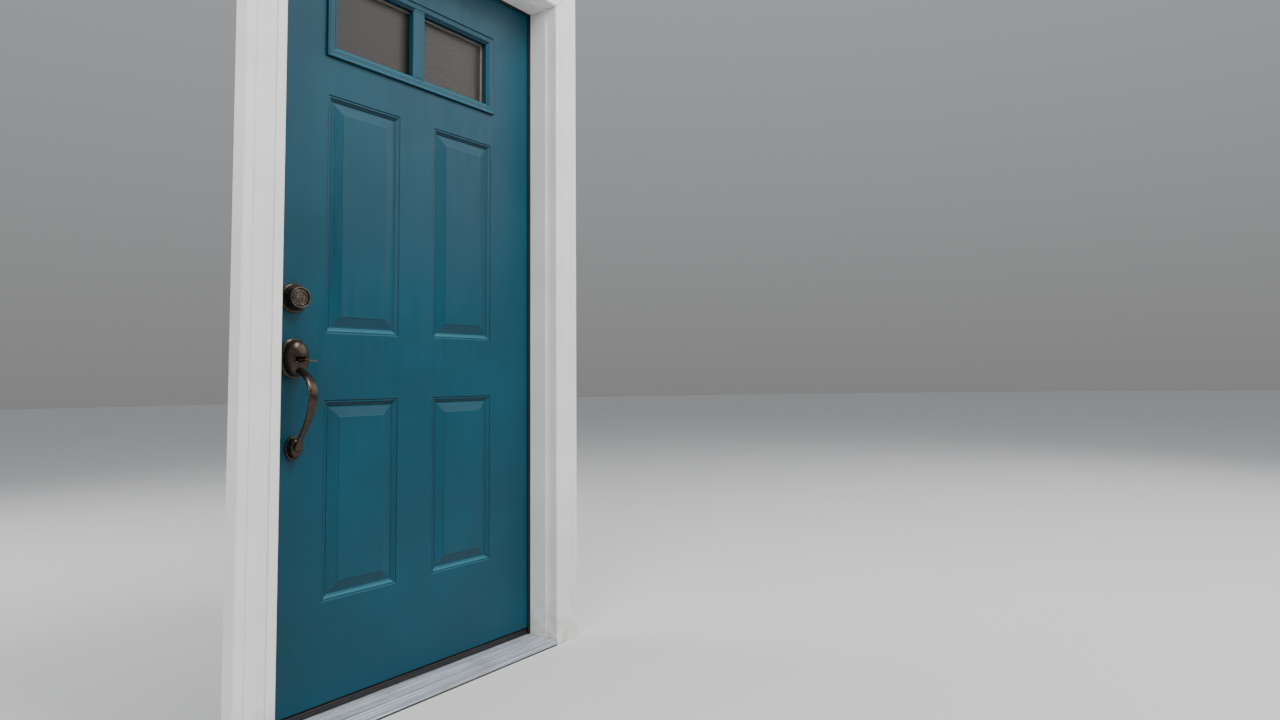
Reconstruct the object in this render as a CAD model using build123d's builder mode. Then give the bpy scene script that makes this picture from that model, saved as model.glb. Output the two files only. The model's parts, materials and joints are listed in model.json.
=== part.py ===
from build123d import *

import os

# A panelled front door hung in its frame: slab, lite, jambs, moulding, sill, hinges and lockset.
# Millimetres. X runs right as seen from outside, Y runs into the house, Z runs up.
# The origin is the middle of the sill's underside, in the plane where the back of the
# outside moulding and the front edges of the jambs meet.

os.makedirs("parts", exist_ok=True)

# Slab
slab_width = 908.0
slab_height = 2013.0
slab_thickness = 44.5
skin = 2.0
stile_width = 38.0
top_rail_height = 38.0
bottom_rail_height = 60.0
lock_block_width = 140.0
lock_block_overhang = 60.0

# Pressed panels
panel_width = 215.0
panel_spacing = 334.0
lower_panel_height = 494.0
kick_rail = 246.2
lock_rail = 169.8
lite_rail = 100.8
groove_width = 42.0
groove_depth = 6.5
groove_step = 1.2
groove_flat = 5.0
groove_cove = 10.0
groove_cove_sag = 1.8
groove_floor = 2.5
field_step = 0.9

# Lite
lite_width = 566.0
lite_height = 246.0
lite_top_rail = 147.2
lite_border = 28.0
lite_flange = 13.0
lite_proud = 8.0
lite_bead = 6.0
lite_bead_round = 1.0
lite_bead_slope = 1.5
lite_bead_drop = 2.0
lite_lip = 5.0
lite_lip_drop = 3.5
lite_lip_sag = 1.6
lite_bar = 39.0
lite_bar_proud = 5.0
lite_bar_chamfer = 4.0
lite_neck = 6.0
lite_clearance = 1.0
glass_thickness = 3.0
glass_gap = 6.7
glass_clearance = 0.5
spacer_width = 9.0
lite_screw_radius = 1.6
lite_screw_length = 36.0
lite_screw_spacing = 190.0
lite_screw_proud = 4.4

# Jambs
jamb_depth = 115.9
jamb_back = 19.0
stop_rise = 12.7
stop_depth = 65.0
glue_line = 0.05
side_gap = 3.0
head_gap = 3.0
frame_screw_bite = 30.0
sill_screw_y = (22.0, 92.0)
sill_screw_z = 11.0
head_screw_y = (20.0, 58.0, 96.0)

# Weatherstrip
strip_width = 19.5
strip_clearance = 0.3
strip_round = 2.5
kerf_width = 3.0
kerf_depth = 10.0
kerf_inset = 5.0
tongue_thickness = 2.4
tongue_clearance = 1.0

# Outside moulding
mould_width = 95.0
mould_thickness = 41.0
mould_reveal = 8.7
mould_nose = 6.0
mould_cove_start = 24.0
mould_cove_end = 46.0
mould_cove_depth = 3.0
mould_quirk = 72.0
mould_quirk_depth = 1.6
mould_edge_chamfer = 2.0
mould_relief = (30.0, 65.0)
mould_relief_depth = 2.0

# Sill
sill_nose_z = 18.0
sill_back_z = 25.0
deck_plate = 2.2
deck_lip_height = 12.0
deck_ridge_count = 9
deck_ridge_pitch = 11.0
deck_ridge_first = 13.0
deck_ridge_width = 1.6
deck_ridge_depth = 0.8
deck_clearance = 0.3
channel_wall = 1.8
cap_top_z = 41.0
cap_clearance = 0.3
cap_chamfer = 3.0
cap_screw_radius = 3.5
cap_screw_spacing = 200.0
cap_screw_count = 4
cap_screw_sink = 1.0
channel_set_back = 1.6
channel_rear_z = 31.0
seal_height = 5.0
seal_clearance = 0.2

# Door bottom
sweep_drop = 5.0
sweep_plate = 2.5
sweep_inset = 3.6
sweep_clearance = 0.35
sweep_fin_width = 2.4
sweep_fin_count = 3
sweep_fin_pitch = 13.0

# Hinges
hinge_height = 101.6
hinge_leaf = 44.0
hinge_thickness = 3.2
hinge_corner = 15.9
hinge_top_margin = 178.0
hinge_bottom_margin = 279.0
knuckle_radius = 6.5
knuckle_count = 5
knuckle_gap = 0.4
knuckle_side_gap = 0.5
pin_radius = 3.6
pin_clearance = 0.05
pin_offset = 8.0
pin_head_radius = 5.0
pin_head_height = 3.0
pin_tip = 1.0
hinge_screw_radius = 2.3
hinge_screw_length = 28.0
jamb_screw_length = 17.0
hinge_screw_rows = (-38.0, -14.0, 14.0, 38.0)
hinge_screw_stagger = 6.0
hinge_screw_inset = 18.0

# Lock and latch
backset = 95.0
bolt_height = 990.5
lock_spacing = 139.7
cross_bore = 27.0
edge_bore = 12.7
faceplate_height = 57.0
faceplate_width = 25.4
faceplate_thickness = 2.4
faceplate_screw_spacing = 41.0
plate_screw_radius = 1.9
plate_screw_length = 19.0
strike_screw_length = 16.0
through_bolt_radius = 2.2
through_bolt_offset = 23.9
post_radius = 3.7
bolt_throw = 25.4
latch_throw = 12.7
bolt_radius = 11.0
bolt_thickness = 15.0
bolt_chamfer = 0.8
case_wall = 1.0
slide_clearance = 0.4
crank_pin_radius = 2.2
crank_clearance = 1.1
tail_thickness = 3.0
plug_drop = 4.0
plug_radius = 6.5
tail_lower = 0.5
tail_gap = 0.8
strap_thickness = 1.5
strap_lower = 12.0
strap_upper = 4.0
strap_overhang = 9.0
strap_lap = 1.5
strap_hole_radius = 4.2
deadbolt_case_length = 48.6
deadbolt_length = 49.0
fork_arm = 3.0
fork_rise = 0.8
crank_hub_radius = 6.0
tailpiece_width = 5.0
tailpiece_thickness = 2.5
tailpiece_proud = (4.9, 6.1)
cylinder_length = 25.0
cylinder_rings = ((17.0, 15.6), (13.2, 12.0))
plug_rear = 3.0
plug_recess_radius = 4.0
key_slot_depth = 14.0
plate_corner_radius = 6.3
rose_bolt_sink = 2.0
rose_bolt_proud = 10.4
rose_post_lead = 2.0
handle_bolt_proud = 9.4
foot_bolt_proud = 21.4
handle_post_proud = {-1: 21.9, 1: 14.9}
lug_half_height = 4.0
lug_proud = 21.9
thumb_root_proud = 57.4
thumb_side = (
    (-19.6, 1.2), (-19.6, 4.2), (7.4, 2.4), (15.4, 2.4), (31.4, 1.0), (55.4, 0.2), (67.4, -0.6),
    (79.4, -3.6), (82.4, -5.2), (81.8, -7.2), (77.4, -6.4), (67.4, -3.6), (55.4, -3.0), (31.4, -2.2),
    (15.4, -2.4), (7.4, -2.4),
)
thumb_arm_width = 8.0
thumb_tip_round = 6.0
plate_round = 2.0
latch_case_length = 66.6
latch_length = 45.0
latch_fork_reach = 14.0
latch_fork_half = 10.0
latch_fork_web = 10.0
latch_hub_radius = 6.0
latch_hub_gap = 0.5
spindle_lap = 12.0
turn_lap = 3.0
turn_round = 1.5

# Strikes and their pockets in the jamb
strike_thickness = 1.6
strike_height = 57.0
strike_width = 29.0
strike_hole_clearance = 1.6
latch_pocket_depth = 16.0
strike_lip = 9.0
strike_lip_height = 30.0
strike_lip_clearance = 1.0
strike_lip_inset = 3.0
strike_lip_lead = 1.5

# Outside trim
rose_radius = 36.0
rose_rim = 3.6
rose_face_radius = 24.5
rose_proud = 30.0
rose_wall = 2.6
rose_rim_round = (1.6, 1.2)
rose_step = (4.0, 1.6)
rose_lip = (1.5, 2.5)
cylinder_radius = 19.4
cylinder_groove = 1.0
key_slot_width = 2.4
key_slot_height = 8.0
plate_width = 72.0
plate_height = 98.0
plate_corner = 34.0
plate_thickness = 5.0
plate_drop = 6.5
dome_half_width = 31.5
dome_half_height = 43.0
dome_proud = 27.0
dome_wall = 3.2
thumb_slot_width = 23.0
thumb_slot_height = 12.0
thumb_pivot_proud = 11.4
thumb_pivot_drop = 10.8
thumb_pin_radius = 1.6
thumb_pin_clearance = 0.05
thumb_neck_width = 17.0
thumb_width = 22.0
thumb_thickness = 3.2
lug_gap = 24.0
lug_thickness = 3.0
grip_line = (
    (14.4, -19.0, 10.0, 7.5), (31.4, -26.0, 10.0, 7.0), (49.4, -34.0, 10.5, 6.0), (65.4, -45.5, 11.0, 5.2),
    (77.4, -62.0, 11.7, 4.6), (83.4, -80.0, 12.0, 4.2), (83.9, -98.0, 11.7, 4.1), (78.4, -119.0, 10.8, 4.0),
    (68.4, -141.0, 9.0, 4.0), (56.4, -162.0, 7.4, 4.2), (45.4, -181.0, 6.6, 4.4), (39.9, -198.0, 7.2, 4.2),
    (38.9, -211.5, 7.5, 3.6),
)
grip_foot_radius = 9.0
grip_foot_thickness = 8.0
grip_post_radius = 6.5
lower_rose_radius = 29.0
lower_rose_proud = 19.0
lower_rose_steps = ((0.0, 4.0), (1.5, 7.0), (6.0, 12.0), (13.0, 16.5))
lower_rose_collar = 2.0

# Inside trim
inside_rose_radius = 33.0
inside_rose_proud = 9.0
inside_rose_steps = ((0.0, 4.0), (1.2, 1.8), (4.0, 0.0))
knob_radius = 27.0
knob_proud = 60.0
knob_neck_radius = 10.5
knob_neck_length = 22.0
knob_back = ((0.62, 3.0), (0.9, 9.0), (1.0, 17.0))
knob_face = ((0.97, 12.0), (0.8, 4.0), (0.5, 0.0))
spindle_width = 7.0
turn_shaft_radius = 6.2
turn_shaft_length = 13.0
turn_proud = 24.0
turn_height = 36.0
turn_width = 12.0
shaft_clearance = 0.05
shaft_gap = 1.0

# Screw heads, as shares of the shank's radius
screw_head_ratio = 1.9
screw_sink_ratio = 0.9

# Sizes worked out from those above
face_y = jamb_depth - slab_thickness
mid_y = jamb_depth - slab_thickness / 2
slab_z = cap_top_z + sweep_drop
slab_top = slab_z + slab_height
slab_edge = slab_width / 2
rabbet_x = slab_edge + side_gap
stop_x = rabbet_x - stop_rise
jamb_x = rabbet_x + jamb_back
head_rabbet_z = slab_top + head_gap
head_stop_z = head_rabbet_z - stop_rise
head_top_z = head_rabbet_z + jamb_back
mould_x = stop_x + mould_reveal
mould_z = head_stop_z + mould_reveal
mould_top_z = mould_z + mould_width
lite_z = slab_top - lite_top_rail - lite_height / 2
lower_panel_z = slab_z + kick_rail + lower_panel_height / 2
upper_panel_low = slab_z + kick_rail + lower_panel_height + lock_rail
upper_panel_high = lite_z - lite_height / 2 - lite_rail
upper_panel_z = (upper_panel_low + upper_panel_high) / 2
upper_panel_height = upper_panel_high - upper_panel_low
lock_x = backset - slab_edge
bolt_z = slab_z + bolt_height
latch_z = bolt_z - lock_spacing
pivot_y = face_y - thumb_pivot_proud
pivot_z = latch_z - thumb_pivot_drop
grip_foot_z = pivot_z + grip_line[-1][1]
plug_z = bolt_z - plug_drop
core_x = slab_edge - stile_width
opening_half_width = lite_width / 2 - lite_flange
opening_half_height = lite_height / 2 - lite_flange
pin_x = (slab_edge + rabbet_x) / 2
pin_y = jamb_depth + pin_offset
sill_rise = (sill_back_z - sill_nose_z) / (face_y + mould_thickness)
channel_y = face_y + channel_set_back
core_face = face_y + skin
core_back = jamb_depth - skin
glass_y = mid_y - glass_gap / 2 - glass_thickness
crank_radius = bolt_throw / 2**0.5
hinge_heights = {
    "top": slab_top - hinge_top_margin - hinge_height / 2,
    "bottom": slab_z + hinge_bottom_margin + hinge_height / 2,
}
hinge_heights["middle"] = (hinge_heights["top"] + hinge_heights["bottom"]) / 2
slab_mid_plane = Plane(origin=(0, mid_y, 0), x_dir=(1, 0, 0), z_dir=(0, -1, 0))
strip_back = face_y - strip_clearance
tongue_depth = kerf_depth - tongue_clearance
knuckle_pitch = hinge_height / knuckle_count
rose_y = face_y - rose_proud
inside_y = jamb_depth + inside_rose_proud
from_start = (Align.CENTER, Align.CENTER, Align.MIN)


def block(x_range, y_range, z_range, mode=Mode.ADD):
    """A square-edged block between two corners, in the part being built."""
    spans = (x_range, y_range, z_range)
    with Locations(tuple((low + high) / 2 for low, high in spans)):
        Box(*(high - low for low, high in spans), mode=mode)


def rod(start, direction, radius, length, mode=Mode.ADD):
    """A round rod or hole that starts at a point and runs along a direction."""
    with Locations(Plane(origin=start, z_dir=direction)):
        Cylinder(radius, length, align=from_start, mode=mode)


def screw(head, direction, radius, length, mode=Mode.ADD):
    """A countersunk screw with its head flush at a point, driven along a direction."""
    sink = radius * screw_sink_ratio
    with Locations(Plane(origin=head, z_dir=direction)):
        Cone(radius * screw_head_ratio, radius, sink, align=from_start, mode=mode)
        Cylinder(radius, length, align=from_start, mode=mode)


def finish(builder, label):
    """Name a finished piece and write it out."""
    builder.part.label = label
    export_step(builder.part, f"parts/{label}.step")


def sill_top(y):
    """Height of the sloping deck at a distance behind the moulding's back."""
    return sill_back_z + (y - face_y) * sill_rise


def framed(width, height, centre, section, *sizes):
    """A moulding run round an upright rectangle, mitred at its corners."""
    half_width, half_height = width / 2, height / 2
    with BuildPart() as run:
        with BuildLine(Plane(origin=centre, x_dir=(1, 0, 0), z_dir=(0, -1, 0))):
            Polyline(
                (0, -half_height), (half_width, -half_height), (half_width, half_height),
                (-half_width, half_height), (-half_width, -half_height), close=True,
            )
        start = (centre[0], centre[1], centre[2] - half_height)
        with BuildSketch(Plane(origin=start, x_dir=(0, 0, 1), z_dir=(-1, 0, 0))):
            with BuildLine():
                section(*sizes)
            make_face()
        sweep(transition=Transition.RIGHT)
    return run.part


def groove_section(top, drop):
    """Section of the pressed groove round a panel: step, flat, cove, floor and raised bevel."""
    step = drop + groove_step
    floor = drop + groove_depth
    cove_end = groove_flat + groove_cove
    Polyline((groove_width, top), (0, top), (0, step), (groove_flat, step))
    SagittaArc((groove_flat, step), (cove_end, floor), groove_cove_sag)
    Polyline(
        (cove_end, floor), (cove_end + groove_floor, floor),
        (groove_width, drop + field_step), (groove_width, top),
    )


def lite_section():
    """Section of the lite frame's outer half: bead, sloping face, sight edge, seat and neck."""
    seat = glass_y - face_y
    meet = mid_y - face_y
    neck = lite_flange + lite_clearance
    pocket = neck + lite_neck
    bead_edge = (lite_bead, -lite_proud)
    lip_edge = (lite_border - lite_lip, lite_lip_drop - lite_proud)
    bead_start = (lite_bead_round, -lite_proud)
    Polyline((neck, 0), (0, 0), (0, lite_bead_round - lite_proud), bead_start, bead_edge)
    Polyline(bead_edge, (lite_bead + lite_bead_slope, lite_bead_drop - lite_proud), lip_edge)
    SagittaArc(lip_edge, (lite_border, 0), lite_lip_sag)
    Polyline((lite_border, 0), (lite_border, seat), (pocket, seat), (pocket, meet), (neck, meet), (neck, 0))


# Tools for the pressed panels, centred on the origin of the slab's outside face
grooves = []
groove_backs = []
for spot_z, panel_height in ((upper_panel_z, upper_panel_height), (lower_panel_z, lower_panel_height)):
    for spot_x in (-panel_spacing / 2, panel_spacing / 2):
        place = (spot_x, face_y, spot_z)
        grooves.append(framed(panel_width, panel_height, place, groove_section, -1, 0))
        groove_backs.append(framed(panel_width, panel_height, place, groove_section, skin / 2, skin))
lite_ring = framed(lite_width, lite_height, (0, face_y, lite_z), lite_section)


# Outside skin, pressed with four raised panels

with BuildPart() as outer_skin:
    block((-slab_edge, slab_edge), (face_y, core_face), (slab_z, slab_top))
    add(groove_backs)
    add(grooves, mode=Mode.SUBTRACT)
    block(
        (-opening_half_width, opening_half_width), (face_y - 1, mid_y),
        (lite_z - opening_half_height, lite_z + opening_half_height), mode=Mode.SUBTRACT,
    )
    for height in (bolt_z, latch_z):
        rod((lock_x, face_y - 1, height), (0, 1, 0), cross_bore, slab_thickness, mode=Mode.SUBTRACT)
    foot = (lock_x, face_y - 1, grip_foot_z)
    rod(foot, (0, 1, 0), through_bolt_radius, slab_thickness, mode=Mode.SUBTRACT)
finish(outer_skin, "outer_skin")

# Foam core between the skins, with the groove backs pressed into it

with BuildPart() as foam_core:
    core_z = (slab_z + bottom_rail_height, slab_top - top_rail_height)
    block((-core_x, core_x), (core_face, core_back), core_z)
    add(groove_backs, mode=Mode.SUBTRACT)
    mirror(groove_backs, about=slab_mid_plane, mode=Mode.SUBTRACT)
    block(
        (-core_x - 1, lock_block_width - core_x), (face_y, jamb_depth),
        (latch_z - lock_block_overhang, bolt_z + lock_block_overhang), mode=Mode.SUBTRACT,
    )
    block(
        (-opening_half_width, opening_half_width), (face_y, jamb_depth),
        (lite_z - opening_half_height, lite_z + opening_half_height), mode=Mode.SUBTRACT,
    )
    rod((lock_x, face_y, grip_foot_z), (0, 1, 0), through_bolt_radius, slab_thickness, mode=Mode.SUBTRACT)
finish(foam_core, "foam_core")


def rounded_plate(centre, normal, width, height, thickness, corner, mode=Mode.ADD):
    """A flat plate with rounded corners, its face at a point and its body behind the normal."""
    with BuildSketch(Plane(origin=centre, x_dir=(0, 1, 0), z_dir=normal)) as plate:
        RectangleRounded(width, height, corner)
    extrude(plate.sketch, amount=-thickness, mode=mode)


def faceplate_blank(height, mode):
    """The outline of one faceplate, let into the slab's lock edge."""
    edge = (-slab_edge, mid_y, height)
    size = (faceplate_width, faceplate_height, faceplate_thickness, plate_corner_radius)
    rounded_plate(edge, (-1, 0, 0), *size, mode)


def faceplate_screws(height, mode):
    """The two screws that hold a faceplate to the slab's lock edge."""
    for side in (-1, 1):
        place = (-slab_edge, mid_y, height + side * faceplate_screw_spacing / 2)
        screw(place, (1, 0, 0), plate_screw_radius, plate_screw_length, mode)


def faceplate_cut(height):
    """Mortise, edge bore and screw holes for one faceplate, in the slab's lock edge."""
    faceplate_blank(height, Mode.SUBTRACT)
    rod((-slab_edge, mid_y, height), (1, 0, 0), edge_bore, backset, mode=Mode.SUBTRACT)
    faceplate_screws(height, Mode.SUBTRACT)


def hinge_screw_spots(centre_z, face_x):
    """Screw places in one hinge leaf, in two staggered columns."""
    spots = []
    for index, row in enumerate(hinge_screw_rows):
        stagger = hinge_screw_stagger if index in (1, 2) else -hinge_screw_stagger
        spots.append((face_x, pin_y - knuckle_radius - hinge_screw_inset + stagger, centre_z + row))
    return spots


def hinge_screws(centre_z, face_x, side, length, mode):
    """The screws of one hinge leaf, driven away from its face."""
    for spot in hinge_screw_spots(centre_z, face_x):
        screw(spot, (-side, 0, 0), hinge_screw_radius, length, mode)


def hinge_leaf_plate(centre_z, face_x, side, mode=Mode.ADD):
    """The flat of one hinge leaf, let into the wood from a face, with two rounded corners."""
    with BuildSketch(Plane(origin=(face_x, pin_y, centre_z), x_dir=(0, -1, 0), z_dir=(side, 0, 0))) as leaf:
        with Locations((hinge_leaf / 2, 0)):
            Rectangle(hinge_leaf, hinge_height)
        fillet(leaf.vertices().group_by(Axis.Y)[0], hinge_corner)
    extrude(leaf.sketch, amount=-hinge_thickness, mode=mode)


# Inside skin, the same pressing facing the room, cut away where the hinge leaves pass

with BuildPart() as inner_skin:
    mirror(outer_skin.part, about=slab_mid_plane)
    for height in hinge_heights.values():
        hinge_leaf_plate(height, slab_edge, 1, Mode.SUBTRACT)
    foot = (lock_x, jamb_depth, grip_foot_z)
    screw(foot, (0, -1, 0), through_bolt_radius, slab_thickness, mode=Mode.SUBTRACT)
finish(inner_skin, "inner_skin")

# Lock stile, hinge stile and the two rails

with BuildPart() as lock_stile:
    block((-slab_edge, -core_x), (core_face, core_back), (slab_z, slab_top))
    faceplate_cut(bolt_z)
    faceplate_cut(latch_z)
finish(lock_stile, "lock_stile")

with BuildPart() as lock_block:
    block(
        (-core_x, lock_block_width - core_x), (core_face, core_back),
        (latch_z - lock_block_overhang, bolt_z + lock_block_overhang),
    )
    for height in (bolt_z, latch_z):
        rod((lock_x, face_y, height), (0, 1, 0), cross_bore, slab_thickness, mode=Mode.SUBTRACT)
        rod((-slab_edge, mid_y, height), (1, 0, 0), edge_bore, backset, mode=Mode.SUBTRACT)
finish(lock_block, "lock_block")

with BuildPart() as hinge_stile:
    block((core_x, slab_edge), (core_face, core_back), (slab_z, slab_top))
    for height in hinge_heights.values():
        hinge_leaf_plate(height, slab_edge, 1, Mode.SUBTRACT)
        hinge_screws(height, slab_edge, 1, hinge_screw_length, Mode.SUBTRACT)
finish(hinge_stile, "hinge_stile")

with BuildPart() as top_rail:
    block((-core_x, core_x), (core_face, core_back), (slab_top - top_rail_height, slab_top))
finish(top_rail, "top_rail")

with BuildPart() as bottom_rail:
    block((-core_x, core_x), (core_face, core_back), (slab_z, slab_z + bottom_rail_height))
finish(bottom_rail, "bottom_rail")

# Door bottom: a screwed vinyl plate whose fins brush the threshold cap

with BuildPart() as door_sweep:
    plate_y = (face_y + sweep_inset, jamb_depth - sweep_inset)
    block((-slab_edge, slab_edge), plate_y, (slab_z - sweep_plate, slab_z))
    for index in range(sweep_fin_count):
        fin_y = mid_y + (index - (sweep_fin_count - 1) / 2) * sweep_fin_pitch
        fin_range = (fin_y - sweep_fin_width / 2, fin_y + sweep_fin_width / 2)
        block((-slab_edge, slab_edge), fin_range, (cap_top_z + sweep_clearance, slab_z - sweep_plate))
finish(door_sweep, "door_sweep")

# Lite: a moulded frame in two halves, screwed together round a sealed pair of panes

screw_half_width = lite_width / 2 - lite_flange - lite_clearance - lite_neck / 2
screw_half_height = lite_height / 2 - lite_flange - lite_clearance - lite_neck / 2
lite_screw_rows = (lite_z - screw_half_height, lite_z + screw_half_height)
lite_screw_spots = [(x, z) for x in (-lite_screw_spacing, 0, lite_screw_spacing) for z in lite_screw_rows]
lite_screw_spots += [(-screw_half_width, lite_z), (screw_half_width, lite_z)]
lite_screw_face = jamb_depth + lite_screw_proud


def lite_screws_shape(mode):
    """The screws that draw the two halves of the lite frame together."""
    for spot_x, spot_z in lite_screw_spots:
        screw((spot_x, lite_screw_face, spot_z), (0, -1, 0), lite_screw_radius, lite_screw_length, mode)


with BuildPart() as lite_half:
    add(lite_ring)
    half_bar = lite_bar / 2
    bar_span = lite_height - 2 * lite_border
    with BuildSketch(Plane.XY.offset(lite_z - bar_span / 2 - 1)):
        with BuildLine():
            front = face_y - lite_bar_proud
            shoulder = front + lite_bar_chamfer
            flat = half_bar - lite_bar_chamfer
            Polyline(
                (-half_bar, glass_y), (-half_bar, shoulder), (-flat, front),
                (flat, front), (half_bar, shoulder), (half_bar, glass_y), close=True,
            )
        make_face()
    extrude(amount=bar_span + 2)

with BuildPart() as lite_frame_outside:
    add(lite_half.part)
    lite_screws_shape(Mode.SUBTRACT)
finish(lite_frame_outside, "lite_frame_outside")

with BuildPart() as lite_frame_inside:
    mirror(lite_half.part, about=slab_mid_plane)
    lite_screws_shape(Mode.SUBTRACT)
    for spot_x, spot_z in lite_screw_spots:
        head = (spot_x, lite_screw_face, spot_z)
        rod(head, (0, 1, 0), lite_screw_radius * screw_head_ratio, lite_proud, mode=Mode.SUBTRACT)
finish(lite_frame_inside, "lite_frame_inside")

pane_half_width = lite_width / 2 - lite_flange - lite_clearance - lite_neck - glass_clearance
pane_half_height = lite_height / 2 - lite_flange - lite_clearance - lite_neck - glass_clearance
pane_x = (-pane_half_width, pane_half_width)
pane_z = (lite_z - pane_half_height, lite_z + pane_half_height)

with BuildPart() as glass_panes:
    for front in (glass_y, mid_y + glass_gap / 2):
        block(pane_x, (front, front + glass_thickness), pane_z)
finish(glass_panes, "glass_panes")

with BuildPart() as glass_spacer:
    block(pane_x, (mid_y - glass_gap / 2, mid_y + glass_gap / 2), pane_z)
    block(
        (spacer_width - pane_half_width, pane_half_width - spacer_width), (face_y, jamb_depth),
        (lite_z - pane_half_height + spacer_width, lite_z + pane_half_height - spacer_width),
        mode=Mode.SUBTRACT,
    )
finish(glass_spacer, "glass_spacer")

with BuildPart() as lite_screws:
    lite_screws_shape(Mode.ADD)
finish(lite_screws, "lite_screws")

# Hinges: leaves let into both edges, interleaved knuckles and a loose headed pin


def hinge_leaf_shape(centre_z, face_x, side, own_knuckles, bore):
    """One hinge leaf with the knuckles that belong to it."""
    hinge_leaf_plate(centre_z, face_x, side)
    for index in range(knuckle_count):
        low = centre_z - hinge_height / 2 + index * knuckle_pitch
        if index in own_knuckles:
            start = (pin_x, pin_y, low + knuckle_gap / 2)
            rod(start, (0, 0, 1), knuckle_radius, knuckle_pitch - knuckle_gap)
        else:
            y_range = (pin_y - knuckle_radius - knuckle_side_gap, pin_y + knuckle_radius)
            x_range = (pin_x - 2 * knuckle_radius, pin_x + 2 * knuckle_radius)
            z_range = (low - knuckle_gap / 2, low + knuckle_pitch + knuckle_gap / 2)
            block(x_range, y_range, z_range, mode=Mode.SUBTRACT)
    for index in own_knuckles:
        low = centre_z - hinge_height / 2 + index * knuckle_pitch
        rod((pin_x, pin_y, low), (0, 0, 1), bore, knuckle_pitch, mode=Mode.SUBTRACT)
    hinge_screws(centre_z, face_x, side, hinge_screw_length, Mode.SUBTRACT)


for place, height in hinge_heights.items():
    with BuildPart() as jamb_leaf:
        hinge_leaf_shape(height, rabbet_x, -1, (0, 2, 4), pin_radius)
    finish(jamb_leaf, f"hinge_{place}_jamb_leaf")
    with BuildPart() as door_leaf:
        hinge_leaf_shape(height, slab_edge, 1, (1, 3), pin_radius + pin_clearance)
    finish(door_leaf, f"hinge_{place}_door_leaf")

with BuildPart() as hinge_pins:
    for height in hinge_heights.values():
        bottom = height - hinge_height / 2 - pin_tip
        rod((pin_x, pin_y, bottom), (0, 0, 1), pin_radius, hinge_height + pin_tip)
        rod((pin_x, pin_y, height + hinge_height / 2), (0, 0, 1), pin_head_radius, pin_head_height)
finish(hinge_pins, "hinge_pins")

with BuildPart() as door_hinge_screws:
    for height in hinge_heights.values():
        hinge_screws(height, slab_edge, 1, hinge_screw_length, Mode.ADD)
finish(door_hinge_screws, "door_hinge_screws")

with BuildPart() as jamb_hinge_screws:
    for height in hinge_heights.values():
        hinge_screws(height, rabbet_x, -1, jamb_screw_length, Mode.ADD)
finish(jamb_hinge_screws, "jamb_hinge_screws")

# Jambs: a board with its applied stop on each side and across the top; the stops are coped over the sill


def sill_screws(mode):
    """The screws through the jambs' feet into the ends of the sill's core."""
    for side in (-1, 1):
        for screw_y in sill_screw_y:
            place = (side * jamb_x, screw_y, sill_screw_z)
            screw(place, (-side, 0, 0), hinge_screw_radius, jamb_back + frame_screw_bite, mode)


def head_screws(mode):
    """The screws down through the head into the tops of the side jambs."""
    for side in (-1, 1):
        for screw_y in head_screw_y:
            place = (side * (rabbet_x + jamb_back / 2), screw_y, head_top_z)
            screw(place, (0, 0, -1), hinge_screw_radius, jamb_back + frame_screw_bite, mode)


def stop_section(inner, outer, kerf):
    """Section of a stop across its run: sight edge, joint with the board, and the kerf in its back."""
    half_kerf = kerf_width / 2
    kerf_floor = stop_depth - kerf_depth
    Polyline(
        (inner, 0), (outer, 0), (outer, stop_depth), (kerf + half_kerf, stop_depth),
        (kerf + half_kerf, kerf_floor), (kerf - half_kerf, kerf_floor), (kerf - half_kerf, stop_depth),
        (inner, stop_depth), close=True,
    )


def jamb_shape(side):
    """One side jamb: a board up to the head, and a stop that stands on the sloping sill."""
    low_x, high_x = sorted((side * rabbet_x, side * jamb_x))
    block((low_x, high_x), (0, jamb_depth), (0, head_rabbet_z))
    joint_x = rabbet_x - glue_line
    with BuildPart() as stop:
        with BuildSketch(Plane.XY) as plan:
            with BuildLine():
                stop_section(stop_x, joint_x, rabbet_x - kerf_inset)
            make_face()
            if side < 0:
                mirror(about=Plane.YZ, mode=Mode.REPLACE)
        extrude(plan.sketch, amount=head_stop_z - glue_line)
        low_x, high_x = sorted((side * (stop_x - 1), side * rabbet_x))
        back = stop_depth + 1
        with BuildSketch(Plane.YZ.offset(low_x)) as foot:
            with BuildLine():
                Polyline((-1, -1), (back, -1), (back, sill_top(back)), (-1, sill_top(-1)), close=True)
            make_face()
        extrude(foot.sketch, amount=high_x - low_x, mode=Mode.SUBTRACT)
    add(stop.part)
    sill_screws(Mode.SUBTRACT)
    head_screws(Mode.SUBTRACT)


with BuildPart() as hinge_jamb:
    jamb_shape(1)
    for height in hinge_heights.values():
        hinge_leaf_plate(height, rabbet_x, -1, Mode.SUBTRACT)
        hinge_screws(height, rabbet_x, -1, jamb_screw_length, Mode.SUBTRACT)
finish(hinge_jamb, "hinge_jamb")


def bolt_section(grow):
    """Section of a bolt: a round bar with two flats, grown by a clearance."""
    Circle(bolt_radius + grow)
    Rectangle(bolt_thickness + 2 * grow, 2 * (bolt_radius + grow), mode=Mode.INTERSECT)


def bolt_hole(height, start_x, depth):
    """The square-cornered hole that a bolt enters, cut along X in the part being built."""
    half_width = bolt_thickness / 2 + strike_hole_clearance
    half_height = bolt_radius + strike_hole_clearance
    y_range = (mid_y - half_width, mid_y + half_width)
    block((start_x - depth, start_x), y_range, (height - half_height, height + half_height), Mode.SUBTRACT)


def strike_blank(height, mode):
    """The outline of one strike, let into the rabbet face."""
    face = (-rabbet_x, mid_y, height)
    rounded_plate(face, (1, 0, 0), strike_width, strike_height, strike_thickness, plate_corner_radius, mode)


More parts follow.
